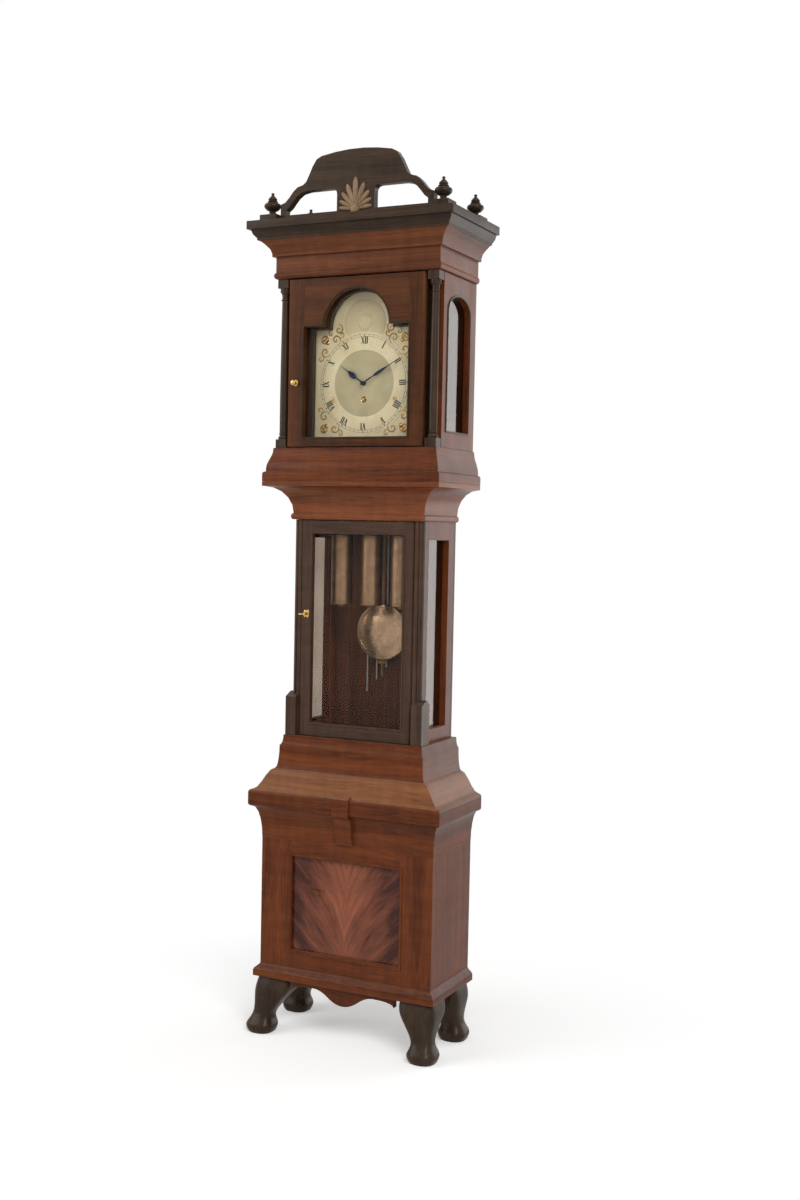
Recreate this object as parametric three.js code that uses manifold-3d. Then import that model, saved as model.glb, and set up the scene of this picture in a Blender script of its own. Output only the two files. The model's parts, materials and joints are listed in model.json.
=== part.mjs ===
// Tall case clock with a glazed door, glazed sides, three weights and a pendulum.
// Millimetres. +X is to the right of someone who faces the clock, the front looks along -Y, +Z is up.
// The origin is on the floor, under the middle of the clock, and the back is flat against the wall plane.

import * as THREE from 'three';
import { mergeVertices } from 'three/addons/utils/BufferGeometryUtils.js';
import Module from 'manifold-3d';

const wasm = await Module();
wasm.setup();

// Clearances
const SEAT_GAP = 0.3;
const DOOR_GAP = 1.5;
const PIVOT_GAP = 0.5;
const SLIDE_GAP = 3;
const HOOD_BACK_GAP = 0.6;
const OVERCUT = 1;

// Plan of the case: widths over all, and depths measured forward from the wall
const BASE_WIDTH = 490;
const BASE_DEPTH = 235;
const TRUNK_WIDTH = 366;
const TRUNK_DEPTH = 200;
const HOOD_WIDTH = 452;
const HOOD_DEPTH = 232;

// How far each moulding stands out from the stage that it is round
const LEDGE_SIDE_OVERHANG = 27.5;
const LEDGE_FRONT_OVERHANG = 29;
const TRUNK_FOOT_OVERHANG = 30;
const HOOD_BASE_SIDE_OVERHANG = 23;
const HOOD_BASE_FRONT_OVERHANG = 26;
const CORNICE_OVERHANG = 60;

// Heights of the stages, from the floor up
const FOOT_HEIGHT = 142;
const PLINTH_HEIGHT = 34;
const BASE_HEIGHT = 330;
const COVE_HEIGHT = 84;
const LIP_HEIGHT = 44;
const LEDGE_RISE = 56;
const TRUNK_FOOT_HEIGHT = 86;
const TRUNK_HEIGHT = 558;
const THROAT_HEIGHT = 96;
const HOOD_BASE_HEIGHT = 86;
const HOOD_HEAD = 32;
const CORNICE_HEIGHT = 141;
const CREST_HEIGHT = 165;

// Boards
const BOARD = 20;
const TRUNK_BOARD = 22;
const FRAME_THICKNESS = 22;
const BACK_THICKNESS = 12;
const GLASS_THICKNESS = 3;
const GLASS_LAP = 6;
const REBATE_DEPTH = 5;

// Feet
const FOOT_BLOCK = 92;
const FOOT_KNEE = 102;
const FOOT_KNEE_DROP = 34;
const FOOT_ANKLE = 52;
const FOOT_ANKLE_HEIGHT = 50;
const FOOT_PAD = 82;
const FOOT_PAD_HEIGHT = 20;
const FOOT_SOLE = 68;
const FOOT_SIDE_KICK = 27;
const FOOT_FRONT_KICK = 47;
const FOOT_OVERHANG = 6;
const FOOT_WALL_GAP = 3;
const FOOT_TOP_SQUARENESS = 6;
const FOOT_SOLE_SQUARENESS = 2.4;

// Base
const PLINTH_OVERHANG = 14;
const PLINTH_FLAT = 15;
const BOTTOM_BOARD = 16;
const APRON_THICKNESS = 18;
const APRON_DROP = 46;
const APRON_END_DROP = 26;
const APRON_ARCH_DROP = 12;
const APRON_FOOT_GAP = 4;
const APRON_SCOOP_SHARE = 0.6;
const APRON_PENDANT_SHARE = 0.3;
const PANEL_OPENING_WIDTH = 310;
const PANEL_TOP_RAIL = 40;
const PANEL_BOTTOM_RAIL = 46;
const PANEL_THICKNESS = 8;
const PANEL_LAP = 8;
const PANEL_SET_BACK = 9;
const FIELD_WIDTH = 214;
const FIELD_MARGIN = 26;
const FIELD_RISE = 5;
const FIELD_BEVEL = 12;
const FIELD_ARCH_SHARE = 0.34;
const LIP_ROUND = 8;
const SHELF_DROP = 28;
const TRUNK_FOOT_CAP_HEIGHT = 26;
const TRUNK_FOOT_CAP_STEP = 22;
const KEY_BLOCK_WIDTH = 46;
const KEY_BLOCK_STAND = 6;
const KEY_BLOCK_BELLY = 24;

// Trunk
const POST_BLOCK_HEIGHT = 112;
const POST_BLOCK_CAP = 12;
const POST_BLOCK_STAND = 12;
const POST_BLOCK_INSET = 4;
const POST_BLOCK_DEPTH = 34;
const POST_BEAD = 9;
const POST_QUIRK = 3;
const SIDE_WINDOW_FRONT = 36;
const SIDE_WINDOW_BACK = 30;
const SIDE_WINDOW_FOOT = 34;
const SIDE_WINDOW_HEAD = 46;
const THROAT_BEAD = 8;
const THROAT_FILLET = 12;
const DOOR_STILE = 30;
const DOOR_RAIL = 34;
const PIN_DIAMETER = 6;
const PIN_LENGTH = 9;
const KEY_HEIGHT = 1092;
const KEY_SHANK_DIAMETER = 5;
const KEY_STAND = 22;
const KEY_INSERT = 9;
const KEY_BOW = 22;
const KEY_BOW_HEIGHT = 15;
const KEY_BOW_THICKNESS = 3;

// Hood
const HOOD_BASE_NOSE = 18;
const HOOD_BASE_FILLET = 14;
const HOOD_BASE_STEP = 4;
const COLUMN_BLOCK = 30;
const COLUMN_BLOCK_HEIGHT = 22;
const COLUMN_FOOT_DIAMETER = 22;
const COLUMN_NECK_DIAMETER = 18;
const COLUMN_RING_DIAMETER = 28;
const COLUMN_RING_HEIGHT = 9;
const COLUMN_GAP = 4;
const COLUMN_RING_FACE = 4.5;
const COLUMN_NECK_DROP = 27;
const COLUMN_TAPER_SHARE = 1 / 3;
const MASK_THICKNESS = 14;
const MASK_GAP = 10;
const HOOD_WINDOW_MARGIN = 28;
const HOOD_WINDOW_FOOT = 44;
const HOOD_WINDOW_HEAD = 50;
const HOOD_WINDOW_ARCH = 40;
const HOOD_DOOR_GAP = 3;
const HOOD_DOOR_STILE = 44;
const HOOD_DOOR_RAIL = 24;
const KNOB_DIAMETER = 15;
const KNOB_STAND = 18;
const KNOB_NECK_DIAMETER = 7;
const KNOB_ROSE_THICKNESS = 2;
const KNOB_ROUND_SHARE = 0.8;
const CORNICE_BEAD = 8;
const CORNICE_BEAD_HEIGHT = 16;
const FRIEZE_HEIGHT = 40;
const FRIEZE_STEP = 4;
const CORNICE_FILLET = 21;
const CORNICE_CURVE_START = 12;
const ROOF_THICKNESS = 12;
const ROOF_LAP = 8;
const BACKBOARD_TOP_DROP = 20;

// Crest and finials
const CREST_THICKNESS = 22;
const CREST_SET_BACK = 46;
const CREST_CROWN_WIDTH = 196;
const CREST_CROWN_RISE = 10;
const CREST_SHOULDER_WIDTH = 300;
const CREST_SHOULDER_HEIGHT = 88;
const CREST_END_HEIGHT = 44;
const CREST_POST_WIDTH = 104;
const CREST_RAIL = 16;
const CREST_BEND_SHARE = 0.5;
const CREST_END_BEND_SHARE = 0.4;
const CREST_CROWN_BEND_SHARE = 0.3;
const FINIAL_BLOCK = 48;
const FINIAL_BLOCK_HEIGHT = 18;
const FINIAL_HEIGHT = 76;
const FINIAL_INSET = 48;
const FINIAL_BOWL = 44;
const FINIAL_NECK = 14;
const FINIAL_WAIST = 22;
const FINIAL_BUD = 26;
const FINIAL_TIP = 7;
const FINIAL_FOOT_RISE = 3;
const FINIAL_NECK_RISE = 7;
const FINIAL_BOWL_RISE = 19;
const FINIAL_SHOULDER_RISE = 27;
const FINIAL_WAIST_RISE = 35;
const FINIAL_BUD_RISE = 38;
const FINIAL_SPIRE_RISE = 46;
const FINIAL_TIP_RISE = 55;

// Dial and hands
const DIAL_WIDTH = 280;
const DIAL_SQUARE = 280;
const DIAL_ARCH_RADIUS = 92;
const DIAL_THICKNESS = 3;
const DIAL_RECESS = 52;
const DIAL_SHOW_LAP = 4;
const DIAL_LIFT = 24;
const HAND_THICKNESS = 1.2;
const HOUR_HAND_STAND = 5;
const HAND_SPACE = 2.8;
const MINUTE_HAND_LENGTH = 112;
const HOUR_HAND_LENGTH = 78;
const MINUTE_AT_REST = 10;
const HOUR_AT_REST = 10;
const WINDING_HOLE_DIAMETER = 13;
const CENTRE_HOLE_DIAMETER = 13;
const DIAL_FOOT_DIAMETER = 6;
const DIAL_FOOT_INSET = 24;
const HAND_BOSS_RADIUS = 6;
const HAND_STEM_WIDTH = 2.4;
const HAND_TIP_WIDTH = 1;
const MINUTE_LEAF_WIDTH = 8;
const HOUR_LEAF_WIDTH = 14;
const LEAF_PLACE_SHARE = 0.45;
const LEAF_FOOT_SHARE = 0.7;
const LEAF_BELLY_SHARE = 0.8;
const BOSS_OPENING_ANGLE = 0.3;
const CAP_DIAMETER = 9;

// Movement
const SEAT_THICKNESS = 18;
const SEAT_DROP = 90;
const PLATE_WIDTH = 250;
const PLATE_HEIGHT = 175;
const PLATE_THICKNESS = 3.5;
const DIAL_TO_PLATE = 30;
const PLATE_SPACE = 64;
const PILLAR_DIAMETER = 9;
const PILLAR_COLLAR_DIAMETER = 13.5;
const PILLAR_INSET = 10;
const TRAIN_SPACING = 86;
const DRUM_DROP = 40;
const DRUM_DIAMETER = 40;
const DRUM_FLANGE_DIAMETER = 52;
const DRUM_LENGTH = 36;
const DRUM_ARBOR_DIAMETER = 8;
const DRUM_PLATE_GAP = 8;
const DRUM_FLANGE_THICKNESS = 2;
const SQUARE_WIDTH = 6.4;
const SQUARE_LENGTH = 26;
const SQUARE_STAND = 2;
const RATCHET_DIAMETER = 46;
const RATCHET_TEETH = 16;
const RATCHET_TOOTH_DEPTH = 3;
const RATCHET_GAP = 2;
const HOUR_WHEEL_DIAMETER = 38;
const HOUR_WHEEL_SET_BACK = 7.5;
const HOUR_TOOTH_DEPTH = 2.4;
const HOUR_TOOTH_LEAN = 0.5;
const RATCHET_TOOTH_LEAN = 0.9;
const ESCAPE_TOOTH_LEAN = 0.3;
const ARBOR_DIAMETER = 5;
const PIVOT_DIAMETER = 3;
const PIPE_WALL = 1.8;
const WHEEL_THICKNESS = 2.5;
const CENTRE_WHEEL_THICKNESS = 3.2;
const ESCAPE_THICKNESS = 1.3;
const PINION_LENGTH = 11;
const WHEEL_ARMS = 4;
const ARM_WIDTH = 4;
const HUB_RADIUS = 7;
const WHEEL_RIM = 3;
const WHEEL_TOOTH_ROOT = 0.6;
const LEAF_ROOT = 0.5;
const CENTRE_TEETH = 48;
const THIRD_TEETH = 54;
const PINION_LEAVES = 6;
const CENTRE_MODULE = 1.3;
const THIRD_MODULE = 1;
const ESCAPE_TOOTH_DEPTH = 4;
const ESCAPE_RIM = 2.4;
const THIRD_WHEEL_PLACE = 29;
const ESCAPE_TEETH = 30;
const ESCAPE_DIAMETER = 42;
const ESCAPE_RISE = 36;
const ANCHOR_RISE = 27;
const PALLET_GAP = 1.6;
const PALLET_SPREAD = 0.92;
const PALLET_LAP = 1;
const ANCHOR_BELLY_SHARE = 0.7;
const ANCHOR_ARM = 4;
const ANCHOR_BACK = 5;
const CRUTCH_DROP = 62;
const CRUTCH_WIDTH = 4;

// Pendulum
const PENDULUM_LENGTH = 700;
const PENDULUM_WALL_GAP = 46;
const BOB_DIAMETER = 150;
const BOB_THICKNESS = 32;
const BOB_RIM = 8;
const ROD_WIDTH = 8;
const ROD_THICKNESS = 6;
const ROD_END_DIAMETER = 6;
const ROD_TAIL = 42;
const NUT_DIAMETER = 22;
const NUT_HEIGHT = 8;
const NUT_CHAMFER = 2.2;
const BOB_EDGE = 6;
const COCK_RISE = 10;
const COCK_HEIGHT = 8;
const COCK_WIDTH = 20;
const COCK_SLOT = 5;
const SUSPENSION_BLOCK = 12;
const SUSPENSION_SPRING = 1;

// Weights, pulleys and cables
const WEIGHT_DIAMETER = 58;
const WEIGHT_LENGTH = 190;
const WEIGHT_TOP = 1305;
const WEIGHT_CAP = 10;
const WEIGHT_SHOULDER_DIAMETER = 35;
const WEIGHT_CHAMFER = 3;
const WEIGHT_HUB_DIAMETER = 12;
const HANGER_NECK = 16;
const HANGER_BAR = 6;
const PULLEY_DIAMETER = 50;
const PULLEY_WIDTH = 12;
const PULLEY_RIM_WIDTH = 8;
const PULLEY_GROOVE_WIDTH = 2.4;
const PULLEY_SIDE_GAP = 1;
const PULLEY_CLEAR = 3;
const HANGER_CHEEK = 2.5;
const HANGER_WIDTH = 16;
const CABLE_DIAMETER = 1.8;
const CABLE_SLOT_WIDTH = 14;
const CABLE_SLOT_LENGTH = 26;
const ROD_SLOT_WIDTH = 32;
const FERRULE_DIAMETER = 6;
const FERRULE_HEIGHT = 8;

// Chime rods
const CHIME_RODS = 5;
const CHIME_SPACING = 28;
const CHIME_ROD_DIAMETER = 4.4;
const CHIME_LONGEST = 480;
const CHIME_STEP = 34;
const CHIME_BLOCK_HEIGHT = 24;
const CHIME_BLOCK_DEPTH = 20;
const CHIME_ROD_SET_BACK = 8;
const CHIME_TOP_GAP = 70;

// How finely round shapes are divided
const CURVE_STEPS = 5;
const ARCH_STEPS = 9;
const WHEEL_CURVE_STEPS = 2;
const ROUND_SIDES = 16;
const SMALL_SIDES = 12;
const PIN_SIDES = 8;
const WIRE_SIDES = 6;

// Finishes, as colour, roughness and metalness
const MAHOGANY = ['#6e3a22', 0.35, 0];
const DARK_WOOD = ['#2c2018', 0.4, 0];
const FIGURED_WOOD = ['#85492f', 0.3, 0];
const INNER_WOOD = ['#4a382c', 0.6, 0];
const PLAIN_WOOD = ['#8f6b48', 0.7, 0];
const CLEAR_GLASS = ['#dfe6e6', 0.05, 0];
const POLISHED_BRASS = ['#c59a4a', 0.25, 1];
const CAST_BRASS = ['#a98445', 0.4, 1];
const STEEL = ['#8d9093', 0.35, 1];
const BLUED_STEEL = ['#1d2536', 0.3, 1];
const PAINTED_DIAL = ['#d3c8a6', 0.5, 0];

// Places worked out from the sizes above
const BACK_Y = (HOOD_DEPTH + CORNICE_OVERHANG) / 2;
const BACKBOARD_FRONT = BACK_Y - BACK_THICKNESS;
const BASE_HALF = BASE_WIDTH / 2;
const BASE_FRONT = BACK_Y - BASE_DEPTH;
const LEDGE_HALF = BASE_HALF + LEDGE_SIDE_OVERHANG;
const LEDGE_FRONT = BASE_FRONT - LEDGE_FRONT_OVERHANG;
const TRUNK_HALF = TRUNK_WIDTH / 2;
const TRUNK_FRONT = BACK_Y - TRUNK_DEPTH;
const TRUNK_FOOT_HALF = TRUNK_HALF + TRUNK_FOOT_OVERHANG;
const TRUNK_FOOT_FRONT = TRUNK_FRONT - TRUNK_FOOT_OVERHANG;
const TRUNK_INNER_HALF = TRUNK_HALF - TRUNK_BOARD;
const TRUNK_INNER_FRONT = TRUNK_FRONT + FRAME_THICKNESS;
const HOOD_HALF = HOOD_WIDTH / 2;
const HOOD_FRONT = BACK_Y - HOOD_DEPTH;
const HOOD_BASE_HALF = HOOD_HALF + HOOD_BASE_SIDE_OVERHANG;
const HOOD_BASE_FRONT = HOOD_FRONT - HOOD_BASE_FRONT_OVERHANG;
const HOOD_INNER_HALF = HOOD_HALF - BOARD;
const CORNICE_HALF = HOOD_HALF + CORNICE_OVERHANG;
const CORNICE_FRONT = HOOD_FRONT - CORNICE_OVERHANG;

const PLINTH_BASE = FOOT_HEIGHT + SEAT_GAP;
const BASE_BOTTOM = FOOT_HEIGHT + PLINTH_HEIGHT;
const BASE_TOP = BASE_BOTTOM + BASE_HEIGHT;
const COVE_TOP = BASE_TOP + COVE_HEIGHT;
const LIP_TOP = COVE_TOP + LIP_HEIGHT;
const LEDGE_TOP = LIP_TOP + LEDGE_RISE;
const TRUNK_BASE = LEDGE_TOP + TRUNK_FOOT_HEIGHT;
const TRUNK_TOP = TRUNK_BASE + TRUNK_HEIGHT;
const THROAT_TOP = TRUNK_TOP + THROAT_HEIGHT;
const HOOD_FLOOR = THROAT_TOP + HOOD_BASE_HEIGHT;
const HOOD_HEIGHT = DIAL_LIFT + DIAL_SQUARE + DIAL_ARCH_RADIUS + HOOD_HEAD;
const CORNICE_BOTTOM = HOOD_FLOOR + HOOD_HEIGHT;
const CORNICE_TOP = CORNICE_BOTTOM + CORNICE_HEIGHT;

const MASK_FRONT = HOOD_FRONT + FRAME_THICKNESS + MASK_GAP;
const MASK_BACK = MASK_FRONT + MASK_THICKNESS;
const DIAL_FRONT = HOOD_FRONT + DIAL_RECESS;
const DIAL_BACK = DIAL_FRONT + DIAL_THICKNESS;
const DIAL_BOTTOM = HOOD_FLOOR + DIAL_LIFT;
const DIAL_SHOULDER = DIAL_BOTTOM + DIAL_SQUARE;
const CENTRE_Z = DIAL_BOTTOM + DIAL_SQUARE / 2;

const SEAT_TOP = CENTRE_Z - SEAT_DROP;
const SEAT_BOTTOM = SEAT_TOP - SEAT_THICKNESS;
const PLATE_BOTTOM = SEAT_TOP + SEAT_GAP;
const PLATE_TOP = PLATE_BOTTOM + PLATE_HEIGHT;
const FRONT_PLATE_Y = DIAL_BACK + DIAL_TO_PLATE;
const SPACE_FRONT = FRONT_PLATE_Y + PLATE_THICKNESS;
const SPACE_BACK = SPACE_FRONT + PLATE_SPACE;
const BACK_PLATE_Y = SPACE_BACK + PLATE_THICKNESS;
const DRUM_Z = CENTRE_Z - DRUM_DROP;
const DRUM_FRONT = SPACE_FRONT + DRUM_PLATE_GAP;
const DRUM_BACK = DRUM_FRONT + DRUM_LENGTH;
const CABLE_Y = (DRUM_FRONT + DRUM_BACK) / 2;
const CABLE_PITCH = DRUM_DIAMETER / 2 + CABLE_DIAMETER / 2 + SEAT_GAP;
const ESCAPE_Z = CENTRE_Z + ESCAPE_RISE;
const PIVOT_Z = ESCAPE_Z + ANCHOR_RISE;

const CENTRE_WHEEL_RADIUS = CENTRE_TEETH * CENTRE_MODULE / 2;
const THIRD_PINION_RADIUS = PINION_LEAVES * CENTRE_MODULE / 2;
const THIRD_WHEEL_RADIUS = THIRD_TEETH * THIRD_MODULE / 2;
const ESCAPE_PINION_RADIUS = PINION_LEAVES * THIRD_MODULE / 2;

const PENDULUM_Y = BACK_Y - PENDULUM_WALL_GAP;
const BOB_Z = PIVOT_Z - PENDULUM_LENGTH;

const WEIGHT_XS = [-TRAIN_SPACING, 0, TRAIN_SPACING];
const HANGER_BAR_TOP = WEIGHT_TOP + HANGER_NECK + HANGER_BAR;
const PULLEY_Z = HANGER_BAR_TOP + PULLEY_CLEAR + PULLEY_DIAMETER / 2;

const HINGE_INSET = FRAME_THICKNESS / 2;
const TRUNK_DOOR_HALF = TRUNK_INNER_HALF - DOOR_GAP;
const HOOD_DOOR_HALF = HOOD_HALF - COLUMN_BLOCK - DOOR_GAP - COLUMN_GAP;

// Tools: turning geometries into solids and back

function welded(geometry) {
  const bare = geometry.index ? geometry.toNonIndexed() : geometry.clone();
  bare.deleteAttribute('normal');
  bare.deleteAttribute('uv');
  const merged = mergeVertices(bare, 1e-4);
  const old = merged.index.array;
  const kept = [];
  for (let i = 0; i < old.length; i += 3) {
    const [a, b, c] = [old[i], old[i + 1], old[i + 2]];
    if (a !== b && b !== c && c !== a) kept.push(a, b, c);
  }
  merged.setIndex(kept);
  return merged;
}

function signedVolume(geometry) {
  const position = geometry.attributes.position;
  const [a, b, c] = [new THREE.Vector3(), new THREE.Vector3(), new THREE.Vector3()];
  let total = 0;
  for (let i = 0; i < geometry.index.count; i += 3) {
    a.fromBufferAttribute(position, geometry.index.getX(i));
    b.fromBufferAttribute(position, geometry.index.getX(i + 1));
    c.fromBufferAttribute(position, geometry.index.getX(i + 2));
    total += a.dot(b.cross(c)) / 6;
  }
  return total;
}

// The same closed shape with every face pointing out
function outward(geometry) {
  const shape = welded(geometry);
  if (signedVolume(shape) > 0) return shape;
  const turned = Array.from(shape.index.array);
  for (let i = 0; i < turned.length; i += 3) {
    [turned[i + 1], turned[i + 2]] = [turned[i + 2], turned[i + 1]];
  }
  shape.setIndex(turned);
  return shape;
}

function solid(geometry) {
  const shape = outward(geometry);
  const mesh = new wasm.Mesh({
    numProp: 3,
    vertProperties: new Float32Array(shape.attributes.position.array),
    triVerts: new Uint32Array(shape.index.array),
  });
  return new wasm.Manifold(mesh);
}

function surface(body) {
  const mesh = body.getMesh();
  const geometry = new THREE.BufferGeometry();
  geometry.setAttribute('position', new THREE.BufferAttribute(new Float32Array(mesh.vertProperties), 3));
  geometry.setIndex(Array.from(mesh.triVerts));
  return geometry;
}

function join(first, ...others) {
  return surface(others.reduce((sum, next) => sum.add(solid(next)), solid(first)));
}

function cut(first, ...tools) {
  return surface(tools.reduce((rest, tool) => rest.subtract(solid(tool)), solid(first)));
}

function mirrored(geometry) {
  return outward(geometry.clone().scale(-1, 1, 1));
}

function moved(geometry, x, y, z) {
  return geometry.clone().translate(x, y, z);
}

// Basic forms

function block(x0, x1, y0, y1, z0, z1) {
  const box = new THREE.BoxGeometry(x1 - x0, y1 - y0, z1 - z0);
  return box.translate((x0 + x1) / 2, (y0 + y1) / 2, (z0 + z1) / 2);
}

function extruded(shape, depth, curveSegments = CURVE_STEPS) {
  return new THREE.ExtrudeGeometry(shape, { depth, bevelEnabled: false, curveSegments });
}

// A board whose outline is drawn in x and z, from y0 to y1
function boardFacingFront(outline, y0, y1, curveSegments) {
  return extruded(outline, y1 - y0, curveSegments).rotateX(Math.PI / 2).translate(0, y1, 0);
}

// A board whose outline is drawn in y and z, from x0 to x1
function boardFacingSide(outline, x0, x1, curveSegments) {
  const turn = new THREE.Matrix4().set(0, 0, 1, 0, 1, 0, 0, 0, 0, 1, 0, 0, 0, 0, 0, 1);
  return extruded(outline, x1 - x0, curveSegments).applyMatrix4(turn).translate(x0, 0, 0);
}

// A post whose plan is drawn in x and y, from z0 to z1
function post(plan, z0, z1) {
  return extruded(plan, z1 - z0).translate(0, 0, z0);
}

function outlineOf(points) {
  return new THREE.Shape(points.map(([a, b]) => new THREE.Vector2(a, b)));
}

// Turned about a vertical axis: profile of [radius, z]
function turnedUpright(profile, x, y, sides = ROUND_SIDES) {
  const points = profile.map(([radius, z]) => new THREE.Vector2(radius, z));
  return outward(new THREE.LatheGeometry(points, sides).rotateX(Math.PI / 2).translate(x, y, 0));
}

// Turned about an axis that runs from front to back: profile of [radius, y]
function turnedLevel(profile, x, z, sides = ROUND_SIDES) {
  const points = profile.map(([radius, y]) => new THREE.Vector2(radius, y));
  return outward(new THREE.LatheGeometry(points, sides).translate(x, 0, z));
}

function uprightPin(diameter, x, y, z0, z1, sides = PIN_SIDES) {
  const radius = diameter / 2;
  return turnedUpright([[0, z0], [radius, z0], [radius, z1], [0, z1]], x, y, sides);
}

function levelPin(diameter, x, z, y0, y1, sides = PIN_SIDES) {
  const radius = diameter / 2;
  return turnedLevel([[0, y0], [radius, y0], [radius, y1], [0, y1]], x, z, sides);
}

// Skin through a row of rings with the same number of points, with flat ends seen by flatten
function lofted(rings, flatten) {
  const count = rings[0].length;
  const positions = rings.flat().flatMap((point) => [point.x, point.y, point.z]);
  const triangles = [];
  for (let i = 0; i + 1 < rings.length; i += 1) {
    for (let j = 0; j < count; j += 1) {
      const next = (j + 1) % count;
      const [a, b] = [i * count + j, i * count + next];
      triangles.push(a, b, b + count, a, b + count, a + count);
    }
  }
  const loops = [[0, true], [rings.length - 1, false]];
  for (const [ring, reversed] of loops) {
    const contour = rings[ring].map(flatten);
    const direction = THREE.ShapeUtils.area(contour) > 0;
    for (const [a, b, c] of THREE.ShapeUtils.triangulateShape(contour, [])) {
      const same = THREE.ShapeUtils.area([contour[a], contour[b], contour[c]]) > 0 === direction;
      const [second, third] = same !== reversed ? [b, c] : [c, b];
      triangles.push(ring * count + a, ring * count + second, ring * count + third);
    }
  }
  const geometry = new THREE.BufferGeometry();
  geometry.setAttribute('position', new THREE.Float32BufferAttribute(positions, 3));
  geometry.setIndex(triangles);
  return outward(geometry);
}

// Curves of mouldings, as shares [across, up] of the way from one corner to the next
const steps = Array.from({ length: CURVE_STEPS + 1 }, (_, i) => i / CURVE_STEPS);
const HOLLOW = steps.map((t) => [1 - Math.cos(t * Math.PI / 2), Math.sin(t * Math.PI / 2)]);
const ROUND = steps.map((t) => [Math.sin(t * Math.PI / 2), 1 - Math.cos(t * Math.PI / 2)]);
const OGEE = steps.map((t) => [(1 - Math.cos(t * Math.PI)) / 2, t]);
const SLOPING_OGEE = steps.map((t) => [t, (1 - Math.cos(t * Math.PI)) / 2]);

function mix(a, b, share) {
  return a + (b - a) * share;
}

// Corners of a moulding are [half width, front, z]
function moulded(from, to, bend) {
  return bend.map(([across, up]) => [
    mix(from[0], to[0], across),
    mix(from[1], to[1], across),
    mix(from[2], to[2], up),
  ]);
}

function grown([half, front], by) {
  return [half + by, front - by];
}

// A moulding mitred round the front and both sides, open at the back
function wrapped(profile) {
  const stations = [[-1, true], [-1, false], [1, false], [1, true]];
  const rings = stations.map(([side, atBack]) => profile.map(([half, front, z]) => (
    new THREE.Vector3(side * half, atBack ? BACK_Y : front, z))));
  return lofted(rings, (point) => new THREE.Vector2(point.x, point.z));
}

// A rectangle with an arch on its top edge, drawn in x and z and grown all round
function breakArch(half, bottom, shoulder, radius, growth = 0) {
  const shape = new THREE.Shape();
  shape.moveTo(-half - growth, bottom - growth);
  shape.lineTo(half + growth, bottom - growth);
  shape.lineTo(half + growth, shoulder + growth);
  shape.lineTo(Math.sqrt((radius + growth) ** 2 - growth ** 2), shoulder + growth);
  const start = Math.asin(growth / (radius + growth));
  shape.absarc(0, shoulder, radius + growth, start, Math.PI - start, false);
  shape.lineTo(-half - growth, shoulder + growth);
  shape.closePath();
  return shape;
}

function rectangle(a0, a1, b0, b1) {
  return outlineOf([[a0, b0], [a1, b0], [a1, b1], [a0, b1]]);
}

// Feet

function footRing(centreX, centreY, half, squareness, z) {
  const ring = [];
  for (let i = 0; i < ROUND_SIDES; i += 1) {
    const angle = (i + 0.5) * 2 * Math.PI / ROUND_SIDES;
    const [across, along] = [Math.cos(angle), Math.sin(angle)];
    const reach = (value) => Math.sign(value) * half * Math.abs(value) ** (2 / squareness);
    ring.push(new THREE.Vector3(centreX + reach(across), centreY + reach(along), z));
  }
  return ring;
}

function foot(side, atFront) {
  const centreX = side * (BASE_HALF + FOOT_OVERHANG - FOOT_BLOCK / 2);
  const frontCentre = BASE_FRONT - FOOT_OVERHANG + FOOT_BLOCK / 2;
  const rearCentre = BACK_Y - FOOT_WALL_GAP - FOOT_KNEE / 2;
  const centreY = atFront ? frontCentre : rearCentre;
  const frontKick = atFront ? FOOT_FRONT_KICK : 0;
  const kneeZ = FOOT_HEIGHT - FOOT_KNEE_DROP;
  const heights = new THREE.SplineCurve([
    new THREE.Vector2(FOOT_BLOCK / 2, FOOT_HEIGHT),
    new THREE.Vector2(FOOT_KNEE / 2, kneeZ),
    new THREE.Vector2(FOOT_ANKLE / 2, FOOT_ANKLE_HEIGHT),
    new THREE.Vector2(FOOT_PAD / 2, FOOT_PAD_HEIGHT),
    new THREE.Vector2(FOOT_SOLE / 2, 0),
  ]);
  const rings = heights.getPoints(PIN_SIDES).map((point) => {
    const z = THREE.MathUtils.clamp(point.y, 0, FOOT_HEIGHT);
    const down = 1 - z / FOOT_HEIGHT;
    const kick = THREE.MathUtils.smoothstep(FOOT_HEIGHT - z, 0, FOOT_HEIGHT - FOOT_PAD_HEIGHT);
    const squareness = mix(FOOT_TOP_SQUARENESS, FOOT_SOLE_SQUARENESS, Math.sqrt(down));
    const x = centreX + side * FOOT_SIDE_KICK * kick;
    return footRing(x, centreY - frontKick * kick, point.x, squareness, z);
  });
  return lofted(rings, (point) => new THREE.Vector2(point.x, point.y));
}

// Base

function apronOutline(half) {
  const top = PLINTH_BASE + BOTTOM_BOARD / 2;
  const end = PLINTH_BASE - APRON_END_DROP;
  const arch = PLINTH_BASE - APRON_ARCH_DROP;
  const middle = PLINTH_BASE - APRON_DROP;
  const scoop = half * APRON_SCOOP_SHARE;
  const pendant = half * APRON_PENDANT_SHARE;
  const turn = (scoop + pendant) / 2;
  const shape = new THREE.Shape();
  shape.moveTo(-half, top);
  shape.lineTo(-half, end);
  shape.quadraticCurveTo(-half, arch, -scoop, arch);
  shape.quadraticCurveTo(-turn, arch, -pendant, (arch + middle) / 2);
  shape.quadraticCurveTo(-pendant / 2, middle, 0, middle);
  shape.quadraticCurveTo(pendant / 2, middle, pendant, (arch + middle) / 2);
  shape.quadraticCurveTo(turn, arch, scoop, arch);
  shape.quadraticCurveTo(half, arch, half, end);
  shape.lineTo(half, top);
  return shape;
}

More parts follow.
